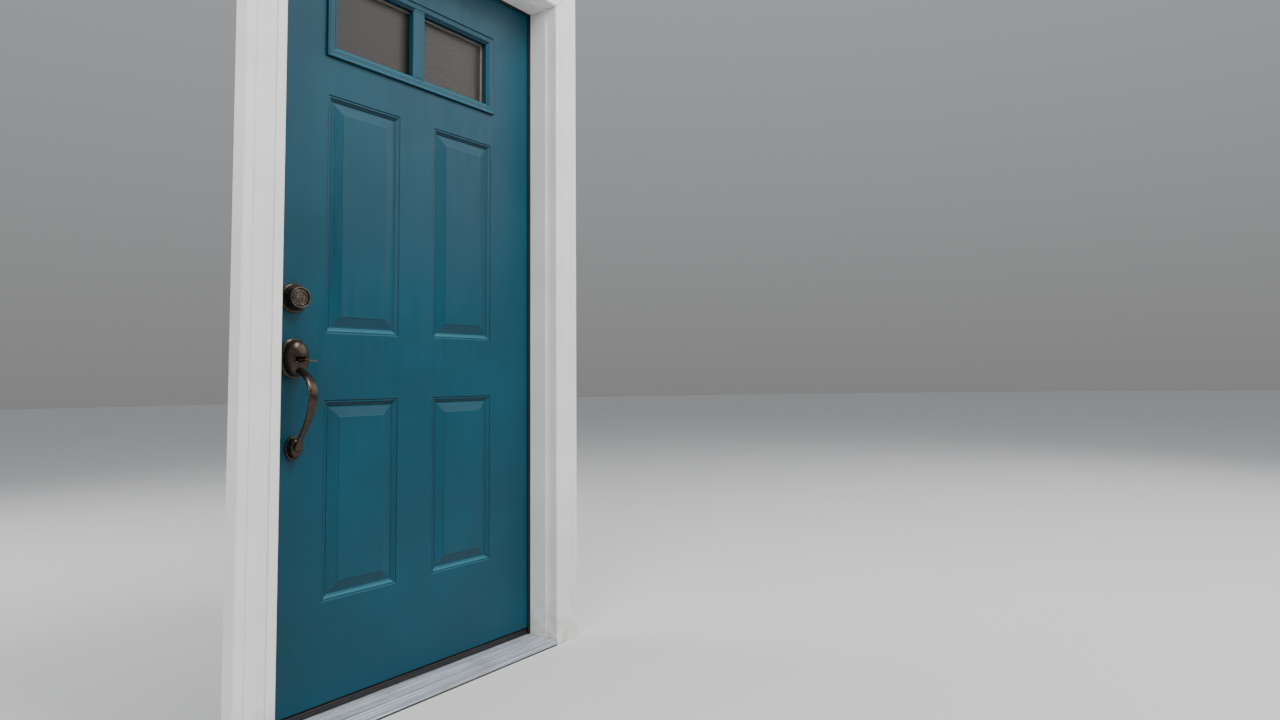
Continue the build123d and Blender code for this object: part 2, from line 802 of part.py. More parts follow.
def strike_fixings(height, mode):
    """The screws above and below a strike's hole."""
    for side in (-1, 1):
        place = (-rabbet_x, mid_y, height + side * faceplate_screw_spacing / 2)
        screw(place, (-1, 0, 0), plate_screw_radius, strike_screw_length, mode)


with BuildPart() as latch_jamb:
    jamb_shape(-1)
    for height, depth in ((bolt_z, jamb_back + 1), (latch_z, latch_pocket_depth)):
        strike_blank(height, Mode.SUBTRACT)
        bolt_hole(height, -rabbet_x, depth)
        strike_fixings(height, Mode.SUBTRACT)
    half_lip = strike_lip_height / 2 + strike_lip_clearance
    lip_z = (latch_z - half_lip, latch_z + half_lip)
    lip_x = (-rabbet_x - strike_thickness, 1 - rabbet_x)
    block(lip_x, (mid_y, jamb_depth + 1), lip_z, mode=Mode.SUBTRACT)
finish(latch_jamb, "latch_jamb")

with BuildPart() as head_jamb:
    block((-jamb_x, jamb_x), (0, jamb_depth), (head_rabbet_z, head_top_z))
    with BuildPart() as head_stop:
        with BuildSketch(Plane(origin=(-rabbet_x, 0, 0), x_dir=(0, 0, 1), z_dir=(-1, 0, 0))) as section:
            with BuildLine():
                stop_section(head_stop_z, head_rabbet_z - glue_line, head_rabbet_z - kerf_inset)
            make_face()
        extrude(section.sketch, amount=-2 * rabbet_x)
        split(bisect_by=Plane.YZ.offset(rabbet_x - glue_line), keep=Keep.BOTTOM)
        split(bisect_by=Plane.YZ.offset(glue_line - rabbet_x), keep=Keep.TOP)
    add(head_stop.part)
    head_screws(Mode.SUBTRACT)
finish(head_jamb, "head_jamb")

# Outside moulding: two legs and a head with one section, mitred at 45 degrees


def mould_section():
    """Section of the moulding: rounded inner nose, cove, quirk, square outer edge and relieved back."""
    top = mould_thickness
    edge = mould_width
    relief_start, relief_end = mould_relief
    Polyline(
        (edge, 0), (relief_end, 0), (relief_end, mould_relief_depth), (relief_start, mould_relief_depth),
        (relief_start, 0), (0, 0), (0, top - mould_nose),
    )
    RadiusArc((0, top - mould_nose), (mould_nose, top), mould_nose)
    Polyline((mould_nose, top), (mould_cove_start, top), (mould_cove_start, top - mould_cove_depth))
    SagittaArc((mould_cove_start, top - mould_cove_depth), (mould_cove_end, top), -mould_cove_depth / 2)
    Polyline(
        (mould_cove_end, top), (mould_quirk - mould_quirk_depth, top),
        (mould_quirk, top - mould_quirk_depth), (mould_quirk + mould_quirk_depth, top),
        (edge - mould_edge_chamfer, top), (edge, top - mould_edge_chamfer), (edge, 0),
    )


def mitre(side, corner_x):
    """Cut a leg or the head along the 45 degree line out of a top corner."""
    plane = Plane(origin=(corner_x, 0, mould_z), x_dir=(0, 1, 0), z_dir=(-side, 0, 1))
    split(bisect_by=plane, keep=Keep.BOTTOM)


for side, label in ((-1, "mould_left"), (1, "mould_right")):
    with BuildPart() as mould_leg:
        with BuildSketch(Plane(origin=(side * mould_x, 0, 0), x_dir=(side, 0, 0), z_dir=(0, 0, -side))):
            with BuildLine():
                mould_section()
            make_face()
        extrude(amount=-side * mould_top_z)
        mitre(side, side * mould_x)
    finish(mould_leg, label)

with BuildPart() as mould_head:
    mould_end = mould_x + mould_width
    with BuildSketch(Plane(origin=(-mould_end, 0, mould_z), x_dir=(0, 0, 1), z_dir=(1, 0, 0))):
        with BuildLine():
            mould_section()
        make_face()
    extrude(amount=2 * mould_end)
    for side in (-1, 1):
        plane = Plane(origin=(side * mould_x, 0, mould_z), x_dir=(0, 1, 0), z_dir=(side, 0, -1))
        split(bisect_by=plane, keep=Keep.BOTTOM)
finish(mould_head, "mould_head")

# Sill: ribbed aluminium deck over a composite core, with an adjustable cap under the slab


def deck_point(y, drop):
    """A point on the deck's sloping top, sunk by a drop."""
    return (y, sill_top(y) - drop)


def sill_horns():
    """Trim the sill's nose so that it fits between the legs of the moulding."""
    for side in (-1, 1):
        low_x, high_x = sorted((side * (mould_x - deck_clearance), side * (rabbet_x + 1)))
        block((low_x, high_x), (-mould_thickness - 1, 0), (-1, sill_back_z + 1), mode=Mode.SUBTRACT)


nose_y = -mould_thickness
lip_back_y = nose_y + deck_plate
channel_floor = deck_point(face_y, deck_plate)[1]
channel_top = channel_floor + channel_wall
channel_rear = jamb_depth - channel_wall

with BuildPart() as sill_deck:
    lip_z = deck_point(nose_y, deck_lip_height)[1]
    with BuildSketch(Plane.YZ.offset(-rabbet_x)):
        with BuildLine():
            Polyline(
                (nose_y, lip_z), deck_point(nose_y, 0), deck_point(face_y, 0), (channel_y, sill_back_z),
                (channel_y, channel_top), (channel_rear, channel_top), (channel_rear, channel_rear_z),
                (jamb_depth, channel_rear_z), (jamb_depth, 0), (channel_rear, 0),
                (channel_rear, channel_floor), deck_point(face_y, deck_plate),
                deck_point(lip_back_y, deck_plate), (lip_back_y, lip_z), close=True,
            )
        make_face()
    extrude(amount=2 * rabbet_x)
    for index in range(deck_ridge_count):
        ridge_y = nose_y + deck_ridge_first + index * deck_ridge_pitch
        y_range = (ridge_y - deck_ridge_width / 2, ridge_y + deck_ridge_width / 2)
        z_range = (sill_top(ridge_y) - deck_ridge_depth, sill_back_z + 1)
        block((-rabbet_x, rabbet_x), y_range, z_range, Mode.SUBTRACT)
    sill_horns()
finish(sill_deck, "sill_deck")


with BuildPart() as sill_core:
    with BuildSketch(Plane.YZ.offset(-rabbet_x)):
        with BuildLine():
            Polyline(
                (lip_back_y, 0), deck_point(lip_back_y, deck_plate), deck_point(face_y, deck_plate),
                (channel_rear, channel_floor), (channel_rear, 0), close=True,
            )
        make_face()
    extrude(amount=2 * rabbet_x)
    sill_horns()
    sill_screws(Mode.SUBTRACT)
finish(sill_core, "sill_core")

cap_y = (channel_y + cap_clearance, channel_rear - cap_clearance)
cap_end = rabbet_x - deck_clearance


def cap_screws_shape(mode, top=cap_top_z - cap_screw_sink):
    """The screws that set the height of the threshold cap, or their holes up to a height."""
    for index in range(cap_screw_count):
        screw_x = (index - (cap_screw_count - 1) / 2) * cap_screw_spacing
        rod((screw_x, mid_y, channel_top), (0, 0, 1), cap_screw_radius, top - channel_top, mode=mode)


with BuildPart() as threshold_cap:
    block((-cap_end, cap_end), cap_y, (channel_top, cap_top_z))
    chamfer(threshold_cap.edges().filter_by(Axis.X).group_by(Axis.Z)[-1], cap_chamfer)
    cap_screws_shape(Mode.SUBTRACT, cap_top_z + 1)
finish(threshold_cap, "threshold_cap")

with BuildPart() as cap_seal:
    seal_y = (face_y, channel_y - seal_clearance)
    block((-cap_end, cap_end), seal_y, (sill_back_z, sill_back_z + seal_height))
finish(cap_seal, "cap_seal")

with BuildPart() as cap_screws:
    cap_screws_shape(Mode.ADD)
finish(cap_screws, "cap_screws")

# Weatherstrips: foam bulbs held by a tongue in the kerf


def strip_section(inner, outer, kerf):
    """Section of a weatherstrip across its run: bulb behind the stop and tongue in the kerf."""
    with Locations(((inner + outer) / 2, (stop_depth + strip_back) / 2)):
        RectangleRounded(abs(outer - inner), strip_back - stop_depth, strip_round)
    with Locations((kerf, stop_depth - tongue_depth / 2 + strip_round / 2)):
        Rectangle(tongue_thickness, tongue_depth + strip_round)


for side, label in ((-1, "weatherstrip_left"), (1, "weatherstrip_right")):
    with BuildPart() as side_strip:
        with BuildSketch(Plane.XY.offset(sill_back_z)):
            strip_section(side * (rabbet_x - strip_width), side * rabbet_x, side * (rabbet_x - kerf_inset))
        extrude(amount=head_rabbet_z - strip_width - sill_back_z)
    finish(side_strip, label)

with BuildPart() as weatherstrip_head:
    with BuildSketch(Plane(origin=(-rabbet_x, 0, 0), x_dir=(0, 0, 1), z_dir=(-1, 0, 0))):
        strip_section(head_rabbet_z - strip_width, head_rabbet_z, head_rabbet_z - kerf_inset)
    extrude(amount=-2 * rabbet_x)
    for side in (-1, 1):
        low_x, high_x = sorted((side * stop_x, side * (rabbet_x + 1)))
        block((low_x, high_x), (0, stop_depth), (head_stop_z, head_rabbet_z), mode=Mode.SUBTRACT)
finish(weatherstrip_head, "weatherstrip_head")

# Strikes on the latch jamb


def strike_holes(height):
    """The bolt hole and countersinks of a strike."""
    bolt_hole(height, 1 - rabbet_x, jamb_back)
    strike_fixings(height, Mode.SUBTRACT)


with BuildPart() as deadbolt_strike:
    strike_blank(bolt_z, Mode.ADD)
    strike_holes(bolt_z)
finish(deadbolt_strike, "deadbolt_strike")

with BuildPart() as latch_strike:
    strike_blank(latch_z, Mode.ADD)
    with BuildSketch(Plane.XY.offset(latch_z - strike_lip_height / 2)):
        with BuildLine():
            lip_start = mid_y + strike_width / 2 - strike_lip_inset
            lip_turn = jamb_depth + strike_lip_lead
            inner_lip = strike_lip - strike_thickness
            outer_end = (-rabbet_x - strike_lip, lip_turn + strike_lip)
            inner_end = (-rabbet_x - strike_lip, lip_turn + inner_lip)
            back_x = -rabbet_x - strike_thickness
            Polyline((back_x, lip_turn), (back_x, lip_start), (-rabbet_x, lip_start), (-rabbet_x, lip_turn))
            RadiusArc((-rabbet_x, lip_turn), outer_end, -strike_lip)
            Line(outer_end, inner_end)
            RadiusArc(inner_end, (back_x, lip_turn), inner_lip)
        make_face()
    extrude(amount=strike_lip_height)
    strike_holes(latch_z)
finish(latch_strike, "latch_strike")

with BuildPart() as strike_screws:
    strike_fixings(bolt_z, Mode.ADD)
    strike_fixings(latch_z, Mode.ADD)
finish(strike_screws, "strike_screws")

with BuildPart() as frame_screws:
    sill_screws(Mode.ADD)
    head_screws(Mode.ADD)
finish(frame_screws, "frame_screws")

# Deadbolt: case, bolt, faceplate and the tailpiece that drives the bolt


def turned(height, outline, mode=Mode.ADD):
    """A solid turned about a lock axis, from radius and depth pairs."""
    with BuildSketch(Plane(origin=(lock_x, 0, height))) as half:
        with BuildLine():
            Polyline(*outline, close=True)
        make_face()
    revolve(half.sketch, axis=Axis((lock_x, 0, height), (0, 1, 0)), mode=mode)


def bolt_tube(height, length):
    """The tube that guides a bolt behind its faceplate."""
    start = (faceplate_thickness - slab_edge, mid_y, height)
    rod(start, (1, 0, 0), case_radius, length)
    rod(start, (1, 0, 0), bolt_radius + slide_clearance, length, mode=Mode.SUBTRACT)


def bolt_bar(height, length, mode=Mode.ADD):
    """The flat-sided bar of a bolt, its face flush with the slab's edge."""
    with BuildSketch(Plane(origin=(-slab_edge, mid_y, height), x_dir=(0, 1, 0), z_dir=(1, 0, 0))) as bar:
        bolt_section(0)
    extrude(bar.sketch, amount=length, mode=mode)


case_radius = bolt_radius + slide_clearance + case_wall
tail_y = (mid_y - tail_thickness / 2, mid_y + tail_thickness / 2)
strap_y = (tail_y[1] + tail_gap, tail_y[1] + tail_gap + strap_thickness)
crank_y = (tail_y[0] - slide_clearance - tail_thickness, tail_y[0] - slide_clearance)
crank_offset = bolt_throw / 2
crank_pin = (lock_x + crank_offset, plug_z + crank_offset)
slot_half = crank_pin_radius + crank_clearance
tailpiece_y = (face_y - tailpiece_proud[0], jamb_depth + tailpiece_proud[1])
tail_z = (bolt_z - tail_lower, crank_pin[1] - slot_half)

with BuildPart() as deadbolt_case:
    bolt_tube(bolt_z, deadbolt_case_length)
    case_end = faceplate_thickness - slab_edge + deadbolt_case_length
    strap_z = (bolt_z - strap_lower, bolt_z + strap_upper)
    block((case_end - strap_lap, lock_x + strap_overhang), strap_y, strap_z)
    rod((lock_x, face_y, plug_z), (0, 1, 0), strap_hole_radius, slab_thickness, mode=Mode.SUBTRACT)
finish(deadbolt_case, "deadbolt_case")

with BuildPart() as deadbolt_bolt:
    bolt_bar(bolt_z, deadbolt_length)
    chamfer(deadbolt_bolt.edges().group_by(Axis.X)[0], bolt_chamfer)
    fork_x = (crank_pin[0] - slot_half - fork_arm, crank_pin[0] + slot_half + fork_arm)
    block((deadbolt_length - slab_edge, fork_x[1]), tail_y, tail_z)
    block(fork_x, tail_y, (tail_z[1] - 1, plug_z + crank_radius + crank_pin_radius + fork_rise))
    block(
        (crank_pin[0] - slot_half, crank_pin[0] + slot_half), (face_y, jamb_depth),
        (tail_z[1], plug_z + cross_bore), mode=Mode.SUBTRACT,
    )
finish(deadbolt_bolt, "deadbolt_bolt")


def edge_plate(height):
    """A faceplate in the slab's lock edge with its bolt hole and screw holes."""
    faceplate_blank(height, Mode.ADD)
    edge = (-slab_edge, mid_y, height)
    with BuildSketch(Plane(origin=edge, x_dir=(0, 1, 0), z_dir=(1, 0, 0))) as mouth:
        bolt_section(slide_clearance)
    extrude(mouth.sketch, amount=faceplate_thickness, mode=Mode.SUBTRACT)
    faceplate_screws(height, Mode.SUBTRACT)


for height, label in ((bolt_z, "deadbolt_faceplate"), (latch_z, "latch_faceplate")):
    with BuildPart() as faceplate:
        edge_plate(height)
    finish(faceplate, label)

with BuildPart() as deadbolt_tailpiece:
    block(
        (lock_x - tailpiece_width / 2, lock_x + tailpiece_width / 2), tailpiece_y,
        (plug_z - tailpiece_thickness / 2, plug_z + tailpiece_thickness / 2),
    )
    rod((lock_x, crank_y[0], plug_z), (0, 1, 0), crank_hub_radius, tail_thickness)
    with BuildSketch(Plane(origin=(lock_x, crank_y[0], plug_z), x_dir=(1, 0, 0), z_dir=(0, -1, 0))):
        with Locations(Location((crank_offset / 2, crank_offset / 2), 45)):
            SlotCenterToCenter(crank_radius, 2 * crank_pin_radius)
    extrude(amount=-tail_thickness)
    pin_reach = tail_y[1] + slide_clearance - crank_y[0]
    rod((crank_pin[0], crank_y[0], crank_pin[1]), (0, 1, 0), crank_pin_radius, pin_reach)
finish(deadbolt_tailpiece, "deadbolt_tailpiece")

# Deadbolt outside: hollow housing, ringed cylinder and the key plug


def through_bolts_shape(mode):
    """The bolts through the slab that clamp the inside trim to the outside trim."""
    for height, proud in ((bolt_z, rose_bolt_proud), (latch_z, handle_bolt_proud)):
        for side in (-1, 1):
            start = (lock_x, inside_y - rose_bolt_sink, height + side * through_bolt_offset)
            screw(start, (0, -1, 0), through_bolt_radius, start[1] - face_y + proud, mode=mode)
    foot = (lock_x, jamb_depth, grip_foot_z)
    screw(foot, (0, -1, 0), through_bolt_radius, slab_thickness + foot_bolt_proud, mode=mode)


with BuildPart() as deadbolt_housing:
    rim_y = face_y - rose_rim
    step_radius = rose_radius - rose_step[0]
    lip_radius = rose_face_radius + rose_lip[0]
    turned(bolt_z, (
        (0, face_y), (rose_radius, face_y), (rose_radius, rim_y),
        (rose_radius - rose_rim_round[0], rim_y - rose_rim_round[1]), (step_radius, rim_y - rose_step[1]),
        (lip_radius, rose_y + rose_lip[1]), (rose_face_radius, rose_y), (0, rose_y),
    ))
    turned(bolt_z, (
        (0, face_y), (step_radius - rose_wall, face_y), (step_radius - rose_wall, rim_y),
        (lip_radius - rose_wall, rose_y + rose_wall), (0, rose_y + rose_wall),
    ), Mode.SUBTRACT)
    for side in (-1, 1):
        post_proud = rose_bolt_proud + rose_post_lead
        post = (lock_x, face_y - post_proud, bolt_z + side * through_bolt_offset)
        rod(post, (0, 1, 0), post_radius, post_proud)
    rod((lock_x, rose_y, bolt_z), (0, 1, 0), cylinder_radius, rose_proud, mode=Mode.SUBTRACT)
    through_bolts_shape(Mode.SUBTRACT)
finish(deadbolt_housing, "deadbolt_housing")

with BuildPart() as deadbolt_cylinder:
    rod((lock_x, rose_y, bolt_z), (0, 1, 0), cylinder_radius, cylinder_length)
    for outer, inner in cylinder_rings:
        with BuildSketch(Plane(origin=(lock_x, rose_y, bolt_z), x_dir=(1, 0, 0), z_dir=(0, -1, 0))):
            Circle(outer)
            Circle(inner, mode=Mode.SUBTRACT)
        extrude(amount=-cylinder_groove, mode=Mode.SUBTRACT)
    plug_front = (lock_x, rose_y, plug_z)
    rod(plug_front, (0, 1, 0), plug_radius + shaft_clearance, cylinder_length, mode=Mode.SUBTRACT)
finish(deadbolt_cylinder, "deadbolt_cylinder")

with BuildPart() as key_plug:
    rod((lock_x, rose_y, plug_z), (0, 1, 0), plug_radius, cylinder_length + plug_rear)
    slot_x = (lock_x - key_slot_width / 2, lock_x + key_slot_width / 2)
    slot_y = (rose_y - 1, rose_y + key_slot_depth)
    block(slot_x, slot_y, (plug_z - key_slot_height / 2, plug_z + key_slot_height / 2), mode=Mode.SUBTRACT)
    rear = rose_y + cylinder_length + plug_rear
    rod((lock_x, rear, plug_z), (0, -1, 0), plug_recess_radius, plug_rear + 1, mode=Mode.SUBTRACT)
finish(key_plug, "key_plug")

# Deadbolt inside: rose and thumbturn


def inside_rose(height, shaft_z, shaft_radius):
    """A shallow round rose on the slab's inside face, bored for a shaft and its bolts."""
    steps = [(inside_rose_radius - inset, inside_y - drop) for inset, drop in inside_rose_steps]
    turned(height, ((0, jamb_depth), (inside_rose_radius, jamb_depth), *steps, (0, inside_y)))
    rod((lock_x, jamb_depth, shaft_z), (0, 1, 0), shaft_radius, inside_rose_proud, mode=Mode.SUBTRACT)
    through_bolts_shape(Mode.SUBTRACT)
    for side in (-1, 1):
        start = (lock_x, inside_y - rose_bolt_sink, height + side * through_bolt_offset)
        rod(start, (0, 1, 0), through_bolt_radius * screw_head_ratio, rose_bolt_sink, mode=Mode.SUBTRACT)


with BuildPart() as deadbolt_inside_rose:
    inside_rose(bolt_z, plug_z, turn_shaft_radius + shaft_clearance)
finish(deadbolt_inside_rose, "deadbolt_inside_rose")

with BuildPart() as thumbturn:
    shaft_y = jamb_depth + shaft_gap
    rod((lock_x, shaft_y, plug_z), (0, 1, 0), turn_shaft_radius, turn_shaft_length)
    paddle_y = shaft_y + turn_shaft_length - turn_lap
    with BuildSketch(Plane(origin=(lock_x, paddle_y, plug_z), x_dir=(1, 0, 0), z_dir=(0, 1, 0))):
        Ellipse(turn_width / 2, turn_height / 2)
    extrude(amount=jamb_depth + turn_proud - paddle_y)
    fillet(thumbturn.edges().group_by(Axis.Y)[-1], turn_round)
    block(
        (lock_x - tailpiece_width / 2, lock_x + tailpiece_width / 2), (shaft_y, tailpiece_y[1]),
        (plug_z - tailpiece_thickness / 2, plug_z + tailpiece_thickness / 2), mode=Mode.SUBTRACT,
    )
finish(thumbturn, "thumbturn")

# Outside handle: one casting with its plate, hollow dome, grip and lower post

plate_z = latch_z - plate_drop
dome_axis_y = face_y + dome_half_width - dome_proud
slot_top = pivot_z + thumb_slot_height / 2


def dome_shape(inset, mode):
    """Half of an egg turned about an upright axis behind the slab's face."""
    wide, high = dome_half_width - inset, dome_half_height - inset
    face = Plane(origin=(lock_x, dome_axis_y, plate_z), x_dir=(1, 0, 0), z_dir=(0, -1, 0))
    with BuildSketch(face) as egg:
        Ellipse(wide, high)
        with Locations((-wide, 0)):
            Rectangle(2 * wide, 3 * high, mode=Mode.SUBTRACT)
    revolve(egg.sketch, axis=Axis((lock_x, dome_axis_y, plate_z), (0, 0, 1)), mode=mode)


def grip_shape():
    """The grip, lofted through ellipses set square to its centreline."""
    with BuildPart() as bar:
        for index, (proud, rise, half_wide, half_thick) in enumerate(grip_line):
            before = grip_line[max(index - 1, 0)]
            after = grip_line[min(index + 1, len(grip_line) - 1)]
            along = (0, before[0] - after[0], after[1] - before[1])
            centre = (lock_x, face_y - proud, pivot_z + rise)
            with BuildSketch(Plane(origin=centre, x_dir=(1, 0, 0), z_dir=along)):
                Ellipse(half_wide, half_thick)
        loft()
    return bar.part


with BuildPart() as handle:
    with BuildSketch(Plane(origin=(lock_x, face_y, plate_z), x_dir=(1, 0, 0), z_dir=(0, -1, 0))):
        RectangleRounded(plate_width, plate_height, plate_corner)
    extrude(amount=plate_thickness)
    fillet(handle.edges().group_by(Axis.Y)[0], plate_round)
    dome_shape(0, Mode.ADD)
    add(grip_shape())
    dome_shape(dome_wall, Mode.SUBTRACT)
    block((-slab_edge, slab_edge), (face_y, 2 * jamb_depth), (0, slab_top), mode=Mode.SUBTRACT)
    for side in (-1, 1):
        lug_x = sorted((lock_x + side * lug_gap / 2, lock_x + side * (lug_gap / 2 + lug_thickness)))
        lug_z = (pivot_z - lug_half_height, pivot_z + lug_half_height)
        block(lug_x, (face_y - lug_proud, pivot_y + lug_half_height), lug_z)
        post_proud = handle_post_proud[side]
        post = (lock_x, face_y - post_proud, latch_z + side * through_bolt_offset)
        rod(post, (0, 1, 0), post_radius, post_proud)
    half_slot = thumb_slot_width / 2
    block(
        (lock_x - half_slot, lock_x + half_slot), (face_y - 2 * dome_proud, pivot_y - lug_half_height),
        (slot_top - thumb_slot_height, slot_top), mode=Mode.SUBTRACT,
    )
    pin_hole = (lock_x - lug_gap, pivot_y, pivot_z)
    rod(pin_hole, (1, 0, 0), thumb_pin_radius + thumb_pin_clearance, 2 * lug_gap, mode=Mode.SUBTRACT)
    foot_y = face_y - grip_line[-1][0]
    foot_front = (lock_x, foot_y - grip_foot_thickness / 2, grip_foot_z)
    rod(foot_front, (0, 1, 0), grip_foot_radius, grip_foot_thickness)
    rod((lock_x, foot_y, grip_foot_z), (0, 1, 0), grip_post_radius, face_y - foot_y)
    through_bolts_shape(Mode.SUBTRACT)
finish(handle, "handle")

with BuildPart() as lower_rose:
    steps = [(lower_rose_radius - inset, face_y - proud) for inset, proud in lower_rose_steps]
    front = face_y - lower_rose_proud
    collar = (grip_post_radius + lower_rose_collar, front)
    turned(grip_foot_z, ((0, face_y), (lower_rose_radius, face_y), *steps, collar, (0, front)))
    rod((lock_x, face_y, grip_foot_z), (0, -1, 0), grip_post_radius, lower_rose_proud, mode=Mode.SUBTRACT)
finish(lower_rose, "lower_rose")

with BuildPart() as thumb_lever:
    with BuildSketch(Plane(origin=(lock_x, 0, 0), x_dir=(0, 1, 0), z_dir=(1, 0, 0))):
        with BuildLine():
            Polyline(*((face_y - proud, pivot_z + rise) for proud, rise in thumb_side), close=True)
        make_face()
    extrude(amount=thumb_width / 2, both=True)
    for side in (-1, 1):
        waste_x = sorted((lock_x + side * thumb_neck_width / 2, lock_x + side * thumb_width))
        block(waste_x, (face_y - thumb_root_proud, jamb_depth), (0, slab_top), mode=Mode.SUBTRACT)
        arm_x = sorted((lock_x + side * thumb_arm_width / 2, lock_x + side * thumb_width))
        block(arm_x, (pivot_y + lug_half_height, jamb_depth), (0, slab_top), mode=Mode.SUBTRACT)
    tip_y = face_y - max(proud for proud, _ in thumb_side)
    with BuildSketch(Plane.XY):
        with Locations((lock_x, tip_y + jamb_depth / 2)):
            RectangleRounded(thumb_width, jamb_depth, thumb_tip_round)
    extrude(amount=slab_top, mode=Mode.INTERSECT)
    pin_length = lug_gap + 2 * lug_thickness - 1
    rod((lock_x - pin_length / 2, pivot_y, pivot_z), (1, 0, 0), thumb_pin_radius, pin_length)
finish(thumb_lever, "thumb_lever")

# Latch: case, sprung bolt with its forked tail, spindle, inside rose and knob

with BuildPart() as latch_case:
    bolt_tube(latch_z, latch_case_length)
finish(latch_case, "latch_case")

with BuildPart() as latch_bolt:
    bolt_bar(latch_z, latch_length)
    with BuildSketch(Plane.XY.offset(latch_z - bolt_radius - 1)):
        with BuildLine():
            Polyline(
                (-slab_edge - 1, mid_y - bolt_radius), (-slab_edge - 1, mid_y + bolt_thickness / 4),
                (latch_throw - slab_edge, mid_y - bolt_radius), close=True,
            )
        make_face()
    extrude(amount=2 * bolt_radius + 2, mode=Mode.SUBTRACT)
    fork_end = lock_x + latch_fork_reach
    fork_start = latch_length - slab_edge
    hub_room = latch_hub_radius + latch_hub_gap
    block((fork_start, fork_end), tail_y, (latch_z - latch_fork_half, latch_z + latch_fork_half))
    block(
        (fork_start + latch_fork_web, fork_end + 1), (face_y, jamb_depth),
        (latch_z - hub_room, latch_z + hub_room), mode=Mode.SUBTRACT,
    )
finish(latch_bolt, "latch_bolt")

spindle_y = (crank_y[0], jamb_depth + spindle_lap)
spindle_x = (lock_x - spindle_width / 2, lock_x + spindle_width / 2)
spindle_z = (latch_z - spindle_width / 2, latch_z + spindle_width / 2)

with BuildPart() as latch_spindle:
    block(spindle_x, spindle_y, spindle_z)
    rod((lock_x, tail_y[0], latch_z), (0, 1, 0), latch_hub_radius, tail_thickness)
finish(latch_spindle, "latch_spindle")

with BuildPart() as knob_rose:
    inside_rose(latch_z, latch_z, knob_neck_radius + shaft_clearance)
finish(knob_rose, "knob_rose")

with BuildPart() as inside_knob:
    neck_y = jamb_depth + shaft_gap
    knob_y = neck_y + knob_neck_length
    knob_end = jamb_depth + knob_proud
    back = [(knob_radius * share, knob_y + rise) for share, rise in knob_back]
    face = [(knob_radius * share, knob_end - drop) for share, drop in knob_face]
    neck = ((0, neck_y), (knob_neck_radius, neck_y), (knob_neck_radius, knob_y))
    turned(latch_z, (*neck, *back, *face, (0, knob_end)))
    block(spindle_x, (neck_y, spindle_y[1]), spindle_z, mode=Mode.SUBTRACT)
finish(inside_knob, "inside_knob")

with BuildPart() as lock_screws:
    through_bolts_shape(Mode.ADD)
    faceplate_screws(bolt_z, Mode.ADD)
    faceplate_screws(latch_z, Mode.ADD)
finish(lock_screws, "lock_screws")
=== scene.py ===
import json
import math

import bmesh
import bpy
from mathutils import Matrix, Vector


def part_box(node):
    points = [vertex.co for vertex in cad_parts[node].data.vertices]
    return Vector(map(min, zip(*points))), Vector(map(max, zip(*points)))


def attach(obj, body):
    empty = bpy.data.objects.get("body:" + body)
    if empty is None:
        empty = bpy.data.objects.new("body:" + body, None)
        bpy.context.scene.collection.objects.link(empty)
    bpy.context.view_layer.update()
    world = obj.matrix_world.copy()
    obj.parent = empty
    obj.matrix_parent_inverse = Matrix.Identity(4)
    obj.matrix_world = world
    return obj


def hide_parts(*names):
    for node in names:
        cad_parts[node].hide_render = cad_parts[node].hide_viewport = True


# A panelled front door in its frame. Metres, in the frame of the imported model:
# X runs right as seen from outside, Y runs into the house, Z runs up.

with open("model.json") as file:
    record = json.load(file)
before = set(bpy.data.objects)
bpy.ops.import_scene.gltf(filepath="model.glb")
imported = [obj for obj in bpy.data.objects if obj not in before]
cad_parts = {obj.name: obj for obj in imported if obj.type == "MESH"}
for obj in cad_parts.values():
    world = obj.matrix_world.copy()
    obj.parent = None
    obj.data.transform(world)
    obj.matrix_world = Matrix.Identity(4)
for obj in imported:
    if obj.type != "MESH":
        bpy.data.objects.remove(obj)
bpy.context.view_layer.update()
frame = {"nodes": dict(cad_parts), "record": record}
nodes = frame["nodes"]
MM = 0.001


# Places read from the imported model


def middle(node):
    """Middle of a CAD node's box."""
    low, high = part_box(node)
    return (low + high) / 2


def span(node):
    """Front and back depth of a CAD node, and half its width."""
    low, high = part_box(node)
    return low.y, high.y, (high.x - low.x) / 2


face_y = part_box("outer_skin")[0].y
inside_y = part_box("inner_skin")[1].y
middle_y = (face_y + inside_y) / 2
lock_x = middle("deadbolt_housing").x
bolt_z = middle("deadbolt_housing").z
plug_z = middle("key_plug").z
latch_z = middle("knob_rose").z
foot_z = middle("lower_rose").z
plate_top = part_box("handle")[1].z
mould_inner_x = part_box("mould_right")[0].x
mould_inner_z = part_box("mould_head")[0].z

# Outlines of the panels and the lite in the door's plane

PANEL_ROWS = ((292.2 * MM, 786.2 * MM), (956 * MM, 1565 * MM))
PANEL_CENTRE = 167 * MM
PANEL_HALF_WIDE = 107.5 * MM
PANEL_REACH = PANEL_CENTRE + PANEL_HALF_WIDE
PANEL_STEPS = (0.0, -13 * MM)
PANEL_STEP_WIDTH = 2.8 * MM
LITE_HALF = (283 * MM, 123 * MM)
LITE_TOP_RAIL = 147.2 * MM
LITE_CENTRE = (0.0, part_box("outer_skin")[1].z - LITE_TOP_RAIL - LITE_HALF[1])
LITE_BORDER = 28 * MM
LITE_STEPS = (-4.5 * MM, -20.5 * MM)
LITE_STEP_WIDTH = 2.6 * MM
BAR_WIDTH = 39 * MM
BAR_PROUD = 5 * MM
BAR_CHAMFER = 4 * MM

# Colours that several finishes share

